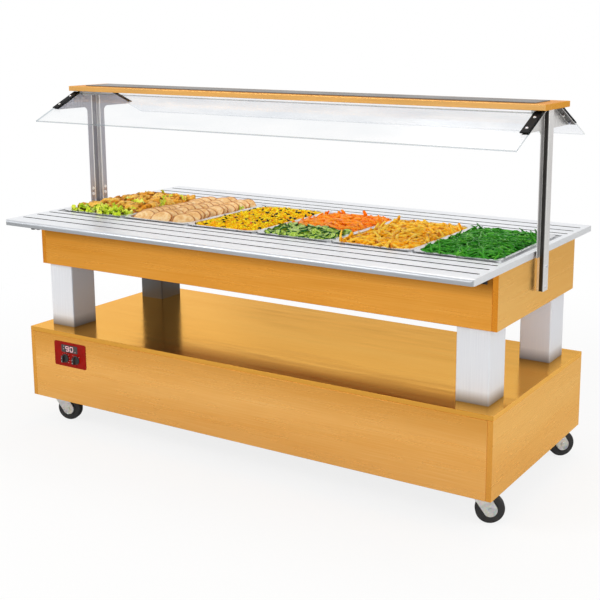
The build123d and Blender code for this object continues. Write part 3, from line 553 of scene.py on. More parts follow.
# A darker copy of the posts' steel: painted shade on the left post.
dress(brushed("satin steel of the left post", "z", "#C6C6CE", "#AEAEB8", (0.24, 0.36), 0.0006, 0.6,
              [(channel_shade_share, "#54545C"), (fold_highlight_share, "#FFFFFF")]), "post_left")
dress(brushed("steel of the well", "x", "#C9CACC", "#A9ABAE", (0.32, 0.46)),
      "well_tank", "pan_support_bars", "control_box")

# %% [markdown]
# The pans are pressed: a satin bloom, with soft draw marks down the walls.

# %% Drawn pans
draw_marks = ((260, 3, 0.0, (1, 1, 0.03)), 0.00004, 0.5)
dress(clouded("drawn steel of the pans", (14, 4, 2.0), [(0.3, "#CFD0D3"), (0.7, "#E6E7E9")], (0.20, 0.34),
              {"Metallic": 1.0}, skin=draw_marks), *[f"pan_{number}" for number in range(1, 7)])

# %% [markdown]
# ## Coated and moulded pieces
# Powder coat has a fine orange-peel texture and shows bright metal only where edges are knocked. Moulded plastic is
# smoother with a faint spark-eroded grain. Rubber is rough and picks up dust on its tread.

# %% Coats and plastics
coat_round = 0.0008


def coated(name, code, edge_code, roughness, peel=1400, depth=0.00004, wear=0.5, shine=0.5):
    look = Finish(name)
    cloud = look.grain(6, start=5.0)
    tone = look.mix(look.span(cloud, 0.0, 0.25), code, edge_code)
    tone = look.mix(look.span(look.edge_wear_and_highlight(coat_round), 0.0, wear, 0.3, 0.9), tone, edge_code)
    return look.cover({
        "Base Color": tone,
        "Roughness": look.span(cloud, roughness - 0.05, roughness + 0.08),
        "Specular IOR Level": shine,
        "Normal": look.relief(look.grain(peel, 2), depth, 0.5, look.soft_edge(coat_round)),
    })


corners = ("front_left", "front_right", "rear_left", "rear_right")
dress(coated("black coat", "#18181A", "#3A3A3C", 0.42), "worktop_brackets")
dress(coated("dark grey lid", "#55504C", "#77726E", 0.36), "canopy_cover")
dress(coated("grey powder coat", "#8C8E92", "#A9ABAE", 0.48), "base_chassis")
dress(coated("black of the clamps", "#050506", "#121213", 0.55, wear=0.2, shine=0.12), "glass_clamps")
dress(coated("black moulded plastic", "#161618", "#2C2C2E", 0.34, 2600, 0.00002, 0.3), "thermostat_knob",
      "light_switch_knob", "cable_gland", "drain_lever", "brake_pedal_front_left", "brake_pedal_rear_left")
dress(coated("grey moulded plastic", "#7D8187", "#9AA0A8", 0.40, 2200, 0.00003, 0.3),
      *[f"caster_hub_{corner}" for corner in corners])


# %% Zinc, rubber, brass and heaters
def zinc_plate(name):
    """Bright zinc with the cloudy spangle and faint yellow and blue of its passivation."""
    look = Finish(name)
    cells = look.take("ShaderNodeTexVoronoi", "Color",
                      {"Vector": look.take("ShaderNodeTexCoord", "Object"), "Scale": 160.0})
    cloud = look.grain(40)
    tone = look.ramp(cloud, (0.3, "#B9BCC4"), (0.5, "#D2D3D4"), (0.72, "#D8D2BE"))
    return look.cover({
        "Base Color": look.mix(0.12, tone, cells),
        "Metallic": 1.0,
        "Roughness": look.span(cloud, 0.26, 0.42),
        "Normal": look.soft_edge(0.0006),
    })


caster_zinc = zinc_plate("bright zinc plate")
dress(caster_zinc, "caster_plates", "button_screws", *[f"caster_fork_{corner}" for corner in corners])
dress(clouded("black rubber", (45, 4, 3.0), [(0.35, "#141415"), (0.62, "#242425"), (0.8, "#4A4845")], (0.50, 0.72),
              skin=((1800, 2), 0.00005, 0.6)), *[f"caster_tyre_{corner}" for corner in corners])
dress(clouded("machined brass", (60, 4), [(0.3, "#A88442"), (0.7, "#D8B868")], (0.24, 0.44),
              {"Metallic": 1.0}, edge=0.0006), "drain_valve")
dress(clouded("heat-dulled sheath", (18, 4), [(0.3, "#4A4446"), (0.5, "#6B5F58"), (0.7, "#7C7468")], (0.42, 0.6),
              {"Metallic": 0.9}), "heating_elements")

# %% [markdown]
# ## Glass and lamps
# The two sneeze guards are toughened glass of 6 mm, nearly colourless on the flat and blue-grey where light
# travels along the sheet to an edge. A sheet this thin hardly bends what is seen through it, so each face is
# drawn as a clear film with a faint gloss that grows towards a grazing view, and the cut edges as pale
# frosted glass. Light falls through such a film onto the food as it does through the real sheet.

# %% Clear pieces
strongest_gleam = 0.07


def clear(name, tint, edge_tint):
    """Clear sheet that lies flat or slopes gently, so that its cut edges are the faces that look sideways."""
    look = Finish(name)
    wipe = look.grain(5, 5, 6.0, (1, 3, 1))
    gleam = look.take("ShaderNodeBsdfGlossy", "BSDF", {"Color": "#FFFFFF", "Roughness": look.span(wipe, 0.05, 0.16)})
    film = look.take("ShaderNodeBsdfTransparent", "BSDF", {"Color": look.ramp(wipe, (0.3, tint), (0.8, "#FFFFFF"))})
    cut = look.take("ShaderNodeBsdfTranslucent", "BSDF", {"Color": edge_tint})
    grazing = look.take("ShaderNodeFresnel", "Fac", {"IOR": 1.45})
    face = look.blend(look.span(grazing, 0.0, strongest_gleam, 0.0, 0.6), film, gleam)
    flat = look.span(look.aside("Normal", "Z"), 0.0, 1.0, 0.60, 0.75)
    whole = look.blend(flat, look.blend(0.5, film, cut), face)
    look.add("ShaderNodeOutputMaterial", {"Surface": whole})
    return look.material


dress(clear("toughened glass", "#FAFBFC", "#93A3AA"), "glass_front")
dress(clear("toughened glass with polished edges", "#F7F8FA", "#EDF0F2"), "glass_rear", "lamp_cover")


# %% Lamps and their housing
def lamp_glass(name, cap_start):
    """A quartz tube that glows faintly, and a white ceramic cap at each end of it."""
    look = Finish(name)
    cap = look.calc("GREATER_THAN", look.aside("Object", "X"), cap_start)
    cloud = look.grain(120)
    tone = look.mix(cap, look.ramp(cloud, (0.3, "#F4E9CF"), (0.7, "#FFF6E2")),
                    look.ramp(cloud, (0.3, "#F1F0EC"), (0.7, "#FFFFFF")))
    return look.cover({
        "Base Color": tone,
        "Roughness": look.span(cap, 0.12, 0.45, 0, 1),
        # The ceramic caps glow as well as the tube: a painted glow.
        "Emission Color": tone,
        "Emission Strength": 0.35,
    })


dress(lamp_glass("quartz and ceramic", 0.957), "lamp_tubes")
dress(clouded("housing sheet", (5, 3, 0.0, (0.4, 1, 1)), [(0.3, "#B9C0C8"), (0.7, "#CDD3D9")], (0.30, 0.44),
              {"Metallic": 0.65}, edge=0.0010), "lamp_housing")


# %% [markdown]
# ## The control panel
# A gloss red plate carries a dark window and two knobs. The plate gets a fine sparkle under its lacquer. The digits
# behind the window are seven-segment figures, made from one bar shape. The table of segments holds the figures 0
# and 9. The white marks beside the knobs and the two dots on each knob are printed, so they stand a tenth of a
# millimetre proud.

# %% Plate and window
def red_print(name):
    look = Finish(name)
    cloud = look.grain(30)
    fleck = look.grain(2400, 2)
    tone = look.ramp(cloud, (0.3, "#860A02"), (0.7, "#980E04"))
    return look.cover({
        "Base Color": look.mix(look.span(fleck, 0.0, 0.35, 0.62, 0.72), tone, "#A81E0C"),
        "Roughness": look.span(cloud, 0.28, 0.40),
        "Specular IOR Level": 0.06,
        "Coat Weight": 0.04,
        "Coat Roughness": 0.08,
        "Normal": look.relief(fleck, 0.00003, 0.4, look.soft_edge(0.0006)),
    })


dress(red_print("red printed plate"), "control_plate")
dress(clouded("dark window", (50, 4), [(0.3, "#120708"), (0.7, "#1F0C0C")], (0.06, 0.16),
              {"Coat Weight": 0.4, "Coat Roughness": 0.03}), "display_window")


# %% Making pieces
def keep(mesh, name, body, smooth=True):
    """Turns a mesh in the counter's own space into a finished piece on a body."""
    piece = bpy.data.objects.new(name, mesh)
    scene.collection.objects.link(piece)
    for face in mesh.polygons:
        face.use_smooth = smooth
    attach(piece, body)
    print(f"{name}: {len(mesh.polygons)} faces on {body}")


def mesh_of(shape, name, material=None, closed=True):
    """The mesh of a finished shape. A closed one gets its faces turned outwards."""
    if closed:
        bmesh.ops.recalc_face_normals(shape, faces=shape.faces)
    mesh = bpy.data.meshes.new(name)
    shape.to_mesh(mesh)
    shape.free()
    if material:
        mesh.materials.append(material)
    return mesh


def skin(shape, rings, ends=True):
    """Joins each ring of corners to the next, which may be a single corner, and closes the two ends."""
    for near, far in zip(rings, rings[1:]):
        for this in range(len(near)):
            after = (this + 1) % len(near)
            around = (near[this], far[this % len(far)], far[after % len(far)], near[after])
            shape.faces.new(list(dict.fromkeys(around)))
    if ends:
        shape.faces.new(rings[0])
        shape.faces.new(reversed(rings[-1]))


def quilt(shape, rows):
    """Joins rows of corners into an open sheet."""
    for low_row, high_row in zip(rows, rows[1:]):
        for this in range(len(low_row) - 1):
            shape.faces.new((low_row[this], low_row[this + 1], high_row[this + 1], high_row[this]))


def plate(shape, outline, front, depth):
    """Adds a flat plate in the XZ plane from an outline, with its face at front and its back behind it."""
    skin(shape, [[shape.verts.new((x_place, y_place, z_place)) for x_place, z_place in outline]
                 for y_place in (front, front + depth)])


def square(shape, middle, size, front, depth):
    """Adds a small square plate around a middle."""
    half = size / 2
    plate(shape, [(middle[0] + x * half, middle[1] + z * half) for x, z in ((-1, -1), (1, -1), (1, 1), (-1, 1))],
          front, depth)


# %% Digits
window_low, window_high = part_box("display_window")
window_width, window_height = window_high.x - window_low.x, window_high.z - window_low.z
digit_height = 0.60 * window_height
digit_width = 0.17 * window_width
digit_step = 0.27 * window_width
segment = 0.0020
digit_depth = 0.0002
segments_on = {"0": "abcdef", "9": "abcdfg"}
shown = "90"
signal_size = 0.0022
signal_places = ((0.17, 0.78), (0.13, 0.40), (0.86, 0.20))


def segment_bar(length, turn, middle):
    """A six-sided bar of a seven-segment figure, around its own middle."""
    half, thick = length / 2 - segment * 0.15, segment / 2
    bar = [(-half, 0), (-half + thick, thick), (half - thick, thick), (half, 0), (half - thick, -thick),
           (-half + thick, -thick)]
    return [(middle[0] + (z if turn else x), middle[1] + (x if turn else z)) for x, z in bar]


def digit(shape, figure, left, low, front):
    wide, tall = digit_width, digit_height / 2
    bars = {"a": (0, wide / 2, 2 * tall), "b": (1, wide, 1.5 * tall), "c": (1, wide, 0.5 * tall),
            "d": (0, wide / 2, 0), "e": (1, 0, 0.5 * tall), "f": (1, 0, 1.5 * tall), "g": (0, wide / 2, tall)}
    for letter in segments_on[figure]:
        turn, x_place, z_place = bars[letter]
        length = tall if turn else wide
        plate(shape, segment_bar(length, turn, (left + x_place, low + z_place)), front, digit_depth)


def lit_segment(name):
    look = Finish(name)
    warm = look.ramp(look.grain(400, 2), (0.3, "#FFA8B0"), (0.7, "#FFE0E4"))
    return look.cover({"Base Color": warm, "Emission Color": warm, "Emission Strength": 0.55})


display = bmesh.new()
display_front = window_low.y - digit_depth
digits_left = (window_low.x + window_high.x) / 2 - digit_step / 2 - digit_width / 2
digits_low = (window_low.z + window_high.z) / 2 - digit_height / 2
for place, figure in enumerate(shown):
    digit(display, figure, digits_left + place * digit_step, digits_low, display_front)
for share_x, share_z in signal_places:
    spot = (window_low.x + share_x * window_width, window_low.z + share_z * window_height)
    square(display, spot, signal_size, display_front, digit_depth)
keep(mesh_of(display, "display_digits", lit_segment("lit segments")), "display_digits", "root", False)
print("the window measures", round(window_width, 4), "by", round(window_height, 4), "metres")

# %% Marks and pointers
print_white = clouded("white print", (500,), [(0.3, "#DAD8D4"), (0.7, "#F6F5F2")], (0.4, 0.55))
print_proud = 0.0001
mark_length, mark_width, mark_depth = 0.0032, 0.0008, 0.0002
mark_radius = 0.0245
dot_size, dot_depth = 0.0026, 0.0003
dot_places = ((-0.002, 0.005), (-0.002, -0.008))
mark_angles = {"thermostat_knob": range(-135, 136, 30), "light_switch_knob": (-45, 45)}
plate_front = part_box("control_plate")[0].y


def radial_mark(shape, middle, angle):
    """Adds a thin bar that points away from the middle, with zero degrees upwards."""
    turn = math.radians(angle)
    away = Vector((math.sin(turn), math.cos(turn)))
    side = Vector((away.y, -away.x)) * mark_width / 2
    near, far = middle + away * (mark_radius - mark_length), middle + away * mark_radius
    plate(shape, [near - side, far - side, far + side, near + side], plate_front - print_proud, mark_depth)


for knob, angles in mark_angles.items():
    low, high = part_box(knob)
    middle = Vector(((low.x + high.x) / 2, (low.z + high.z) / 2))
    marks = bmesh.new()
    for angle in angles:
        radial_mark(marks, middle, angle)
    keep(mesh_of(marks, f"{knob}_scale", print_white), f"{knob}_scale", "root", False)
    pointer = bmesh.new()
    for dot in dot_places:
        square(pointer, middle + Vector(dot), dot_size, low.y - print_proud, dot_depth)
    keep(mesh_of(pointer, f"{knob}_pointer", print_white), f"{knob}_pointer", knob, False)

# %% [markdown]
# ## Food in the pans
# Six hot dishes fill the pans almost to the rims. Each is a low mound that follows the walls of its pan, with the
# real pieces lying on it: that keeps their number down, since nobody sees the lower layers. The pieces of a dish
# are alike but never the same, so Geometry Nodes scatter a few shapes over the mound, turn and lean each one,
# and give each its own shade.

# %% The room in a pan
rim_width = 0.012
wall_lean = math.tan(math.radians(6.0))
wall_clearance = 0.0008
mouth_corner = 0.046
pan_low, pan_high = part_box("pan_1")
rim_level = pan_high.z
mouth_half_x = (pan_high.x - pan_low.x) / 2 - rim_width
mouth_half_y = (pan_high.y - pan_low.y) / 2 - rim_width
print("the mouth of a pan measures", round(2 * mouth_half_x, 4), "by", round(2 * mouth_half_y, 4), "metres")


def inside_walls(x_place, y_place, z_place):
    """The nearest place inside the pan's walls at that height, measured from the pan's middle."""
    inset = wall_clearance + max(0.0, rim_level - z_place) * wall_lean
    core_x = mouth_half_x - mouth_corner
    core_y = mouth_half_y - mouth_corner
    corner = mouth_corner - inset
    over_x = abs(x_place) - core_x
    over_y = abs(y_place) - core_y
    if over_x > 0 and over_y > 0:
        reach = math.hypot(over_x, over_y)
        if reach > corner:
            over_x, over_y = over_x * corner / reach, over_y * corner / reach
    else:
        over_x, over_y = min(over_x, corner), min(over_y, corner)
    return (math.copysign(core_x + over_x, x_place), math.copysign(core_y + over_y, y_place), z_place)


# %% Mounds
mound_columns, mound_rows = 34, 56


def mound(name, material, edge_drop, crown, lumps=0.004, lump_size=0.045):
    """A heap's top skin, around the pan's middle: low along the walls, higher in the middle and uneven."""
    shape = bmesh.new()
    rows = []
    for row in range(mound_rows + 1):
        line = []
        for column in range(mound_columns + 1):
            across = 2 * column / mound_columns - 1
            along = 2 * row / mound_rows - 1
            dome = ((1 - across ** 4) * (1 - along ** 6)) ** 0.5
            at = Vector((across * mouth_half_x, along * mouth_half_y, 0))
            uneven = noise.noise(at / lump_size + Vector((len(name), 3, 7)))
            level = rim_level - edge_drop + crown * dome + lumps * uneven * (0.4 + dome)
            line.append(shape.verts.new(inside_walls(at.x, at.y, level)))
        rows.append(line)
    quilt(shape, rows)
    return mesh_of(shape, name, material, closed=False)


# %% [markdown]
# ## One tree that scatters every dish
# The tree spreads points evenly over the mound, picks a shape for each, turns it about the upright, leans it, sizes it
# and writes down a random shade that the material reads. The mound joins in at the end. Pieces that stick through
# a wall after the scatter are pressed back inside it, as food in a full pan is. The bolts further down come from a
# tree of the same kind, so the steps that both need are functions of their own.

# %% Steps that both trees share
def new_tree(name, inputs):
    """A bench with an empty tree that takes these inputs and gives out a mesh, and what the inputs give."""
    tree = bpy.data.node_groups.new(name, "GeometryNodeTree")
    for title, kind in inputs.items():
        tree.interface.new_socket(title, in_out="INPUT", socket_type=f"NodeSocket{kind}")
    tree.interface.new_socket("Geometry", in_out="OUTPUT", socket_type="NodeSocketGeometry")
    bench = Bench(tree)
    return bench, bench.add("NodeGroupInput").outputs


def chosen_by_chance(bench, kind, low, high, seed):
    """A random value for each point, between low and high."""
    return bench.take("FunctionNodeRandomValue", "Value", {"Min": low, "Max": high, "Seed": seed}, data_type=kind)


def turned(bench, rotation, angles):
    """A rotation with a further turn in its own space."""
    spin = bench.take("FunctionNodeEulerToRotation", "Rotation", {"Euler": angles})
    return bench.take("FunctionNodeRotateRotation", "Rotation", {"Rotation": rotation, "Rotate By": spin},
                      rotation_space="LOCAL")


def give_out(bench, copies, material):
    """Ends a tree: the copies become plain mesh with their finish."""
    real = bench.take("GeometryNodeRealizeInstances", "Geometry", {"Geometry": copies})
    done = bench.take("GeometryNodeSetMaterial", "Geometry", {"Geometry": real, "Material": material})
    bench.add("NodeGroupOutput", {"Geometry": done})
    return bench.tree


# %% The scatter tree
def scatter_tree():
    bench, given = new_tree("scatter", {
        "Mound": "Geometry", "Shapes": "Collection", "Spacing": "Float", "Lean": "Float", "Turn": "Float",
        "Smallest": "Float", "Largest": "Float", "Raise": "Float", "Back From": "Float", "Front To": "Float",
        "Seed": "Int", "Piece Finish": "Material"})
    seed = given["Seed"]
    crowd = bench.calc("DIVIDE", 2.2, bench.calc("MULTIPLY", given["Spacing"], given["Spacing"]))
    where = bench.take("GeometryNodeInputPosition", "Position")
    depth = bench.add("ShaderNodeSeparateXYZ", {"Vector": where}).outputs["Y"]
    behind = bench.take("FunctionNodeCompare", "Result", {"A": depth, "B": given["Back From"]}, data_type="FLOAT",
                        operation="GREATER_THAN")
    before = bench.take("FunctionNodeCompare", "Result", {"A": depth, "B": given["Front To"]}, data_type="FLOAT",
                        operation="LESS_THAN")
    chosen = bench.take("FunctionNodeBooleanMath", "Boolean", {0: behind, 1: before}, operation="AND")
    points = bench.add("GeometryNodeDistributePointsOnFaces", {
        "Mesh": given["Mound"], "Selection": chosen, "Distance Min": given["Spacing"], "Density Max": crowd,
        "Seed": seed}, distribute_method="POISSON").outputs
    shapes = bench.take("GeometryNodeCollectionInfo", "Instances", {
        "Collection": given["Shapes"], "Separate Children": True, "Reset Children": True})
    pick = chosen_by_chance(bench, "INT", 0, 97, seed)
    back_lean = bench.calc("MULTIPLY", given["Lean"], -1.0)
    back_turn = bench.calc("MULTIPLY", given["Turn"], -1.0)
    least = bench.take("ShaderNodeCombineXYZ", "Vector", {"X": back_lean, "Y": back_lean, "Z": back_turn})
    most = bench.take("ShaderNodeCombineXYZ", "Vector", {"X": given["Lean"], "Y": given["Lean"], "Z": given["Turn"]})
    pose = turned(bench, points["Rotation"], chosen_by_chance(bench, "FLOAT_VECTOR", least, most, seed))
    size = chosen_by_chance(bench, "FLOAT", given["Smallest"], given["Largest"], seed)
    lift = chosen_by_chance(bench, "FLOAT", 0.0, given["Raise"], seed)
    rise = bench.take("ShaderNodeCombineXYZ", "Vector", {"Z": lift})
    raised = bench.take("GeometryNodeSetPosition", "Geometry", {"Geometry": points["Points"], "Offset": rise})
    copies = bench.take("GeometryNodeInstanceOnPoints", "Instances", {
        "Points": raised, "Instance": shapes, "Pick Instance": True, "Instance Index": pick, "Rotation": pose,
        "Scale": size})
    tint = chosen_by_chance(bench, "FLOAT", 0.0, 1.0, seed)
    tinted = bench.take("GeometryNodeStoreNamedAttribute", "Geometry", {
        "Geometry": copies, "Name": "shade", "Value": tint}, data_type="FLOAT", domain="INSTANCE")
    return give_out(bench, tinted, given["Piece Finish"])


scatter = scatter_tree()
print("the scatter tree has", len(scatter.nodes), "nodes")


# %% Running the tree
def run_tree(tree, base_mesh, settings, name):
    """Runs a tree once on a mesh and returns the plain mesh it gives."""
    base = bpy.data.objects.new(f"{name}_base", base_mesh)
    scene.collection.objects.link(base)
    modifier = base.modifiers.new("tree", "NODES")
    modifier.node_group = tree
    for item in tree.interface.items_tree:
        if item.in_out == "INPUT" and item.name in settings:
            modifier[item.identifier] = settings[item.name]
    graph = bpy.context.evaluated_depsgraph_get()
    mesh = bpy.data.meshes.new_from_object(base.evaluated_get(graph), depsgraph=graph)
    mesh.name = name
    bpy.data.objects.remove(base)
    return mesh


def scattered(name, mound_mesh, shapes, material, spacing, seed, lean=0.25, sizes=(0.85, 1.15), raise_by=0.003,
              back_from=-1.0, front_to=1.0):
    """A layer of one dish: a few shapes scattered over the mound between two lines across the pan."""
    stock = bpy.data.collections.new(f"{name}_shapes")
    scene.collection.children.link(stock)
    for number, shape in enumerate(shapes):
        stock.objects.link(bpy.data.objects.new(f"{name}_shape_{number}", shape))
    mesh = run_tree(scatter, mound_mesh, {
        "Shapes": stock, "Spacing": spacing, "Lean": lean, "Turn": math.pi, "Smallest": sizes[0],
        "Largest": sizes[1], "Raise": raise_by, "Back From": back_from, "Front To": front_to, "Seed": seed,
        "Piece Finish": material,
    }, name)
    for thing in list(stock.objects):
        bpy.data.objects.remove(thing)
    bpy.data.collections.remove(stock)
    return mesh


def serve(number, name, meshes):
    """Joins the layers of a dish into one piece in its pan, and presses it inside the walls."""
    dish = bmesh.new()
    finishes = []
    for mesh in meshes:
        first = len(dish.faces)
        dish.from_mesh(mesh)
        dish.faces.ensure_lookup_table()
        for face in dish.faces[first:]:
            face.material_index = len(finishes)
        finishes.append(mesh.materials[mesh.polygons[0].material_index])
    low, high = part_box(f"pan_{number}")
    middle = Vector(((low.x + high.x) / 2, (low.y + high.y) / 2, 0))
    for vertex in dish.verts:
        vertex.co = middle + Vector(inside_walls(*vertex.co))
    whole = mesh_of(dish, name, closed=False)
    for material in finishes:
        whole.materials.append(material)
    keep(whole, name, f"pan_{number}")


# %% [markdown]
# ## Shapes for the dishes
# Chips, beans, carrot sticks and rice are all a bar that bends along an arc and narrows to its tips, so one
# function draws them with other numbers. Nuggets and lumps start from a ball pushed about by noise. Lettuce is a
# fan whose edge waves more than its rib. Slices of roast and of courgette are discs with a crust or a skin.

# %% Bars, lumps, leaves and discs
def bent_bar(name, length, width, height, bend, sides, steps, tip):
    """A bar along X that bends by an angle, with its ends narrowed to a share of its width."""
    shape = bmesh.new()
    rings = []
    for step in range(steps + 1):
        share = step / steps
        angle = bend * (share - 0.5)
        radius = length / bend
        centre = Vector((radius * math.sin(angle), radius * (1 - math.cos(angle)), 0))
        side = Vector((-math.sin(angle), math.cos(angle), 0))
        narrow = tip + (1 - tip) * min(1.0, 4 * min(share, 1 - share)) ** 0.5
        ring = []
        for corner in range(sides):
            turn = 2 * math.pi * (corner + 0.5) / sides
            across = side * (math.cos(turn) * width / 2 * narrow)
            ring.append(shape.verts.new(centre + across + Vector((0, 0, math.sin(turn) * height / 2 * narrow))))
        rings.append(ring)
    skin(shape, rings)
    return mesh_of(shape, name)


def lump(name, size, roughness, seed, rounds=2):
    """A ball squashed to a size and pushed about by noise."""
    shape = bmesh.new()
    bmesh.ops.create_icosphere(shape, subdivisions=rounds, radius=0.5)
    for vertex in shape.verts:
        push = 1 + roughness * noise.noise(vertex.co * 4 + Vector((seed, 0, 0)))
        push += 0.5 * roughness * noise.noise(vertex.co * 11 + Vector((0, seed, 0)))
        vertex.co = Vector((vertex.co.x * size[0], vertex.co.y * size[1], vertex.co.z * size[2])) * push
    return mesh_of(shape, name)


def leaf(name, length, width, waves, ruffle, seed):
    """A ruffled leaf that fans out from its rib and curls up towards its edge."""
    shape = bmesh.new()
    across_steps, along_steps = 18, 5
    rows = []
    for row in range(along_steps + 1):
        out = row / along_steps
        line = []
        for column in range(across_steps + 1):
            turn = (column / across_steps - 0.5) * 2.6
            reach = length * out * (0.85 + 0.15 * math.cos(turn * 7 + seed))
            ripple = ruffle * out ** 1.5 * math.sin(waves * turn + seed + 2 * out)
            line.append(shape.verts.new((
                reach * math.cos(turn), width / length * reach * math.sin(turn) + 0.3 * ripple,
                0.20 * length * out ** 2 + ripple,
            )))
        rows.append(line)
    quilt(shape, rows)
    return mesh_of(shape, name, closed=False)


def disc(shape, profile, turns, half_size, place=Matrix(), uneven=0.0, curl=0.0):
    """Adds a slice from rings, each given as how far out it lies, its height as a share, and its crust."""
    layers = shape.verts.layers.float
    crust = layers.get("crust") or layers.new("crust")
    rings = []
    for out, lift, share in profile:
        ring = []
        for turn in range(turns):
            angle = 2 * math.pi * turn / turns
            reach = out * (1 - uneven * math.cos(2 * angle + 0.6) ** 3)
            spot = Vector((reach * half_size[0] * math.cos(angle), reach * half_size[1] * math.sin(angle),
                           lift * half_size[2] * 2))
            spot.z += curl * spot.x ** 2
            vertex = shape.verts.new(place @ spot)
            vertex[crust] = share
            ring.append(vertex)
        rings.append(ring)
    skin(shape, rings)


# %% [markdown]
# ## Food finishes
# Food is moist and lets some light in. Each finish reads the shade that the scatter wrote down, so that one
# chip is paler than the next, and adds a pattern of its own size: toasted patches, fibres, or a wet gleam.

# %% Food finish
def food(name, pale, middle, deep, spots=None, spot_size=60, gloss=0.4, glow=0.08, bump=0.0006):
    look = Finish(name)
    cloud = look.grain(90, 4)
    value = look.calc("ADD", look.span(look.noted("shade"), 0.0, 0.6, 0, 1), look.span(cloud, 0.0, 0.4))
    tone = look.ramp(value, (0.12, deep), (0.5, middle), (0.88, pale))
    if spots:
        tone = look.mix(look.span(look.grain(spot_size, start=8.0), 0.0, 0.9, 0.54, 0.68), tone, spots)
    return look.cover({
        "Base Color": tone,
        "Roughness": look.span(cloud, gloss - 0.1, gloss + 0.12),
        "Specular IOR Level": 0.08,
        "Subsurface Weight": glow,
        "Subsurface Radius": (0.012, 0.006, 0.003),
        "Subsurface Scale": 0.3,
        "Normal": look.relief(look.grain(420), bump, 0.6),
    })


# %% [markdown]
# ## Dish by dish
# From left to right: fried chicken on lettuce, slices of roast, yellow rice with olives, carrots with courgette
# slices, chips, and green beans. The mounds stand a little higher or lower in their pans, as they do after serving.

# %% Fried chicken with lettuce
fried = food("fried crumb", "#FFD264", "#EE9F28", "#A86418", "#7A3E10", 34, 0.38, 0.06, 0.0010)
greens = food("frisee lettuce", "#F2F45A", "#C4DC2C", "#6CA81E", "#F8FA9A", 40, 0.35, 0.10)
under_chicken = mound("chicken_mound", food("crumb shadow", "#8A5A1E", "#6B4214", "#4A2C0C"), 0.018, 0.020)
nuggets = [lump(f"nugget_{number}", (0.062 + 0.008 * number, 0.046, 0.024), 0.55, number, 3) for number in range(4)]
leaves = [leaf(f"leaf_{number}", 0.036, 0.034, 9 + number, 0.005, number) for number in range(3)]
serve(1, "fried_chicken", [
    under_chicken,
    scattered("nuggets", under_chicken, nuggets, fried, 0.040, 3, raise_by=0.010, back_from=-0.17),
    scattered("front_leaves", under_chicken, leaves, greens, 0.020, 5, 0.35, raise_by=0.005, front_to=-0.14),
    scattered("more_leaves", under_chicken, leaves, greens, 0.075, 8, 0.4, (0.6, 1.0), 0.014),
])

# %% Slices of roast
slice_half_size = (0.098 / 2, 0.078 / 2, 0.006 / 2)
slice_profile = ((0.35, 0.5, 0.0), (0.82, 0.5, 0.05), (0.96, 0.38, 0.9), (1.0, 0.0, 0.9), (0.96, -0.4, 0.2),
                 (0.8, -0.5, 0.0), (0.35, -0.5, 0.0))
slice_lean, slice_turn = 40, 28
row_places = (-0.088, 0.0, 0.088)
row_slices, slice_step = 12, 0.038
first_slice, row_stagger = -0.217, 0.013
slice_sink = 0.006


def roast_finish(name):
    """Pale flesh with fibres, and a browned crust where the slices carry one."""
    look = Finish(name)
    fibres = look.grain(60, 5)
    flesh = look.ramp(fibres, (0.3, "#E2A866"), (0.5, "#F4C88A"), (0.7, "#FDE2B4"))
    crust = look.ramp(fibres, (0.3, "#96480F"), (0.6, "#C4742A"), (0.75, "#E0A050"))
    edge = look.calc("ADD", look.noted("crust"), look.span(fibres, -0.25, 0.3))
    return look.cover({
        "Base Color": look.mix(look.span(edge, 0, 1, 0.2, 0.8), flesh, crust),
        "Roughness": look.span(fibres, 0.26, 0.46),
        "Specular IOR Level": 0.2,
        "Subsurface Weight": 0.06,
        "Subsurface Scale": 0.3,
        "Normal": look.relief(look.grain(380), 0.0008, 0.6),
    })


chance = random.Random(12)
roast = bmesh.new()
for row, row_place in enumerate(row_places):
    for number in range(row_slices):
        spot = Vector((row_place + chance.uniform(-0.010, 0.010),
                       first_slice + number * slice_step + row_stagger * row + chance.uniform(-0.004, 0.004),
                       rim_level - slice_sink + chance.uniform(-0.003, 0.004)))
        lean = Euler((math.radians(slice_lean + chance.uniform(-7, 7)), math.radians(chance.uniform(-6, 6)),
                      math.radians(slice_turn + chance.uniform(-18, 18))))
        disc(roast, slice_profile, 22, slice_half_size, Matrix.Translation(spot) @ lean.to_matrix().to_4x4(),
             uneven=0.10, curl=0.9)
under_roast = mound("roast_mound", food("roast juice", "#C08448", "#9A6230", "#6E4420", gloss=0.25), 0.024, 0.010)
serve(2, "sliced_roast", [
    under_roast,
    mesh_of(roast, "roast_slices", roast_finish("roast meat")),
    scattered("roast_leaves", under_roast, leaves, greens, 0.060, 4, 0.4, (0.6, 0.9), 0.014, back_from=0.12),
])

# %% Yellow rice with olives
yellow = food("yellow rice", "#FFF030", "#FFD80A", "#F2AA06", "#F49A14", 45, 0.42, 0.12)
olive_black = food("black olive", "#2E2F22", "#1C1C16", "#0E0E0C", gloss=0.25)
pepper_red = food("red pepper", "#F0742A", "#D8481A", "#A82C10", gloss=0.3)
under_rice = mound("rice_mound", yellow, 0.016, 0.020, 0.006, 0.03)
grains = [bent_bar(f"grain_{number}", 0.0085, 0.0032, 0.0030, 0.4, 5, 3, 0.5) for number in range(2)]
crumbs = [lump(f"crumb_{number}", (0.013, 0.010, 0.009), 0.6, number) for number in range(3)]
olives = [bent_bar(f"olive_{number}", 0.028, 0.011, 0.006, 2.6, 6, 6, 0.9) for number in range(2)]
peppers = [bent_bar("pepper_0", 0.018, 0.008, 0.004, 0.8, 4, 3, 0.8)]
serve(3, "yellow_rice", [
    under_rice,
    scattered("grains", under_rice, grains, yellow, 0.0062, 2, 0.7),
    scattered("crumbs", under_rice, crumbs, yellow, 0.015, 4, 0.6),
    scattered("olives", under_rice, olives, olive_black, 0.040, 6, 0.5, raise_by=0.004),
    scattered("peppers", under_rice, peppers, pepper_red, 0.075, 9, 0.5, raise_by=0.004),
])

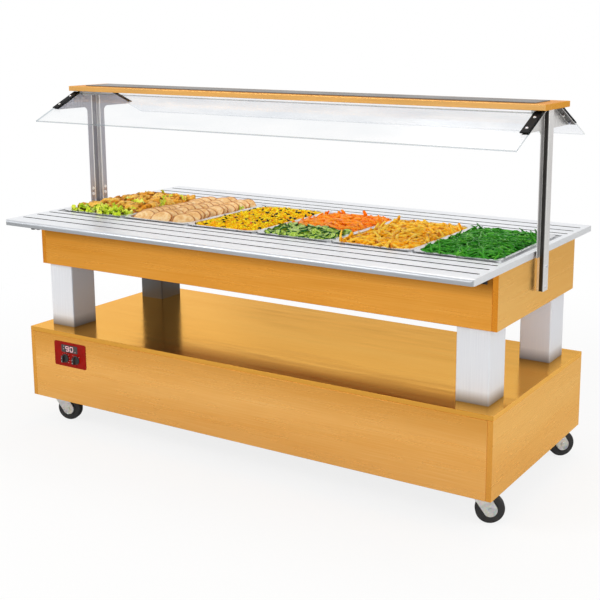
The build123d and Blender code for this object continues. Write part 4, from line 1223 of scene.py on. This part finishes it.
# %% Carrots and courgette slices
courgette_split = -0.085
courgette_thickness = 0.005
courgette_profile = ((0.45, 0.5, 0.0), (0.86, 0.5, 0.0), (1.0, 0.42, 1.0), (1.0, -0.42, 1.0), (0.86, -0.5, 0.0))
carrot = food("cooked carrot", "#FFA428", "#FF840A", "#F46A00", None, 60, 0.32, 0.10)
under_carrot = mound("carrot_mound", food("carrot shadow", "#D8580C", "#B04408", "#7E2E06"), 0.016, 0.020)
sticks = [bent_bar(f"stick_{number}", 0.050 + 0.009 * number, 0.016, 0.009, 0.3 + 0.25 * number, 6, 4, 0.7)
          for number in range(4)]


def round_slice(name, radius):
    shape = bmesh.new()
    disc(shape, courgette_profile, 14, (radius, radius, courgette_thickness / 2))
    return mesh_of(shape, name)


def courgette_finish(name):
    """Pale green flesh with a dark skin where the slices carry one."""
    look = Finish(name)
    cloud = look.grain(160)
    flesh = look.ramp(cloud, (0.3, "#6E9A1C"), (0.5, "#A4C63E"), (0.7, "#DCE88C"))
    peel = look.ramp(cloud, (0.3, "#0A3A10"), (0.7, "#1A6420"))
    return look.cover({
        "Base Color": look.mix(look.span(look.noted("crust"), 0, 1, 0.35, 0.75), flesh, peel),
        "Roughness": look.span(cloud, 0.25, 0.42),
        "Specular IOR Level": 0.2,
        "Subsurface Weight": 0.1,
        "Subsurface Scale": 0.3,
    })


courgettes = [round_slice(f"courgette_{number}", 0.0165 + 0.0015 * number) for number in range(3)]
serve(4, "carrots_and_courgettes", [
    under_carrot,
    scattered("sticks", under_carrot, sticks, carrot, 0.0155, 5, 0.14, raise_by=0.005, back_from=courgette_split),
    scattered("courgettes", under_carrot, courgettes, courgette_finish("courgette"), 0.0150, 7, 0.50,
              raise_by=0.006, front_to=courgette_split),
])

# %% Chips
chip = food("fried potato", "#FFDC54", "#FFB81A", "#EE940C", "#C8741A", 35, 0.4, 0.1)
under_chips = mound("chips_mound", food("chip shadow", "#C07E1E", "#9A6014", "#6E420C"), 0.018, 0.018)
chips = [bent_bar(f"chip_{number}", 0.060 + 0.009 * number, 0.0120, 0.0110, 0.15 + 0.2 * number, 4, 4, 0.85)
         for number in range(4)]
serve(5, "chips", [
    under_chips, scattered("chips", under_chips, chips, chip, 0.0150, 11, 0.20, raise_by=0.006)])

# %% Green beans
bean = food("green bean", "#46A028", "#1C7210", "#0C4808", "#66B83A", 25, 0.28, 0.06, 0.0002)
under_beans = mound("bean_mound", food("bean shadow", "#1F5A12", "#15450C", "#0C3006"), 0.012, 0.014)
beans = [bent_bar(f"bean_{number}", 0.075 + 0.010 * number, 0.0062, 0.0058, 0.35 + 0.30 * number, 6, 8, 0.4)
         for number in range(4)]
serve(6, "green_beans", [
    under_beans, scattered("beans", under_beans, beans, bean, 0.0115, 17, 0.05, raise_by=0.006)])


# %% [markdown]
# ## Bolts
# Each caster hangs from four hexagon bolts through the slots of its top plate. One bolt head with its washer is
# drawn once, and Geometry Nodes set a copy at each place, facing the direction that the place stores and turned
# about it by chance, as bolts are when they have been done up.

# %% One bolt head
def turned_shape(name, profile, turns):
    """A surface turned about Z from pairs of radius and height, closed where the radius is zero."""
    shape = bmesh.new()
    rings = []
    for radius, height in profile:
        steps = [2 * math.pi * turn / turns for turn in range(turns if radius else 1)]
        rings.append([shape.verts.new((radius * math.cos(step), radius * math.sin(step), height)) for step in steps])
    skin(shape, rings, ends=False)
    return mesh_of(shape, name)


def hex_head(name, across, height):
    """A hexagon bolt head with a washer face, its seat at zero. A hexagon's corners lie at 0.577 of its width."""
    washer, corner, seat = 0.62 * across, 0.577 * across, 0.12 * height
    return turned_shape(name, [(washer, 0), (washer, seat), (corner, seat), (corner, 0.9 * height),
                               (0.50 * across, height), (0, height)], 6)


# %% The fastener tree
def fastener_tree():
    bench, given = new_tree("fasteners", {
        "Places": "Geometry", "Fastener": "Object", "Seed": "Int", "Fastener Finish": "Material"})
    head = bench.take("GeometryNodeObjectInfo", "Geometry", {"Object": given["Fastener"], "As Instance": True})
    aim = bench.take("GeometryNodeInputNamedAttribute", "Attribute", {"Name": "aim"}, data_type="FLOAT_VECTOR")
    facing = bench.take("FunctionNodeAlignRotationToVector", "Rotation", {"Vector": aim}, axis="Z")
    spin = chosen_by_chance(bench, "FLOAT", 0.0, math.tau, given["Seed"])
    about = bench.take("ShaderNodeCombineXYZ", "Vector", {"Z": spin})
    copies = bench.take("GeometryNodeInstanceOnPoints", "Instances", {
        "Points": given["Places"], "Instance": head, "Rotation": turned(bench, facing, about)})
    return give_out(bench, copies, given["Fastener Finish"])


fasteners = fastener_tree()
print("the fastener tree has", len(fasteners.nodes), "nodes")


def fasten(name, head, places, material, seed):
    """Sets a head at each place, given as a point and the direction that it faces."""
    spots = bpy.data.meshes.new(f"{name}_places")
    spots.from_pydata([point for point, _ in places], [], [])
    aims = spots.attributes.new("aim", "FLOAT_VECTOR", "POINT")
    for number, (_, facing) in enumerate(places):
        aims.data[number].vector = facing
    model = bpy.data.objects.new(f"{name}_model", head)
    scene.collection.objects.link(model)
    mesh = run_tree(fasteners, spots, {"Fastener": model, "Seed": seed, "Fastener Finish": material}, name)
    bpy.data.objects.remove(model)
    keep(mesh, name, "root", False)


# %% Bolts of the casters
swivel_x, swivel_y = 0.955, 0.338
slot_x, slot_y = 0.040, 0.030
plate_sheet = 0.0025
plate_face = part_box("caster_plates")[1].z - plate_sheet
quarters = [(end, side) for end in (-1, 1) for side in (-1, 1)]
bolt_places = [((end * swivel_x + right * slot_x, side * swivel_y + rear * slot_y, plate_face), (0, 0, -1))
               for end, side in quarters for right, rear in quarters]
fasten("caster_bolts", hex_head("bolt_head", 0.013, 0.0053), bolt_places, caster_zinc, 1)

# %% [markdown]
# The posts carry two bright screws in each flange, a hand's breadth above the worktop. They look inwards, over
# the food, so only the left post's can be seen from the front.

# %% Screws of the posts
# Near white and nearly matt: a painted highlight standing for the glint of the steel heads and nuts.
highlight_white_head = brushed("bright screw heads", "z", "#FFFFFF", "#F2F3F5", (0.30, 0.40), 0, 0.2)
flange_face, flange_middle = 1.016, 0.0365
screw_levels = (slide_level + 0.036, slide_level + 0.060)
flange_places = [((end * flange_face, side * flange_middle, level), (-end, 0, 0))
                 for end, side in quarters for level in screw_levels]
fasten("post_screws", hex_head("screw_head", 0.012, 0.0035), flange_places, highlight_white_head, 4)

# %% [markdown]
# Two dome nuts hang under the head plate of each post and hold the canopy board down.

# %% Dome nuts of the canopy
dome_nut = turned_shape("dome_nut", [(0.0085, 0), (0.0085, 0.0015), (0.0068, 0.0015), (0.0068, 0.0090),
                                     (0.0058, 0.0150), (0.0040, 0.0190), (0, 0.0205)], 12)
head_sheet = 0.003
head_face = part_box("post_right")[1].z - head_sheet
nut_x, nut_y = 1.0250, 0.016
nut_places = [((end * nut_x, side * nut_y, head_face), (0, 0, -1)) for end, side in quarters]
fasten("canopy_nuts", dome_nut, nut_places, highlight_white_head, 6)

# %% [markdown]
# What is added must not make the counter larger than its frame. The dressed size is printed.

# %% The dressed size and finish
low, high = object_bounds()
print("dressed size", [round(size, 4) for size in high - low])
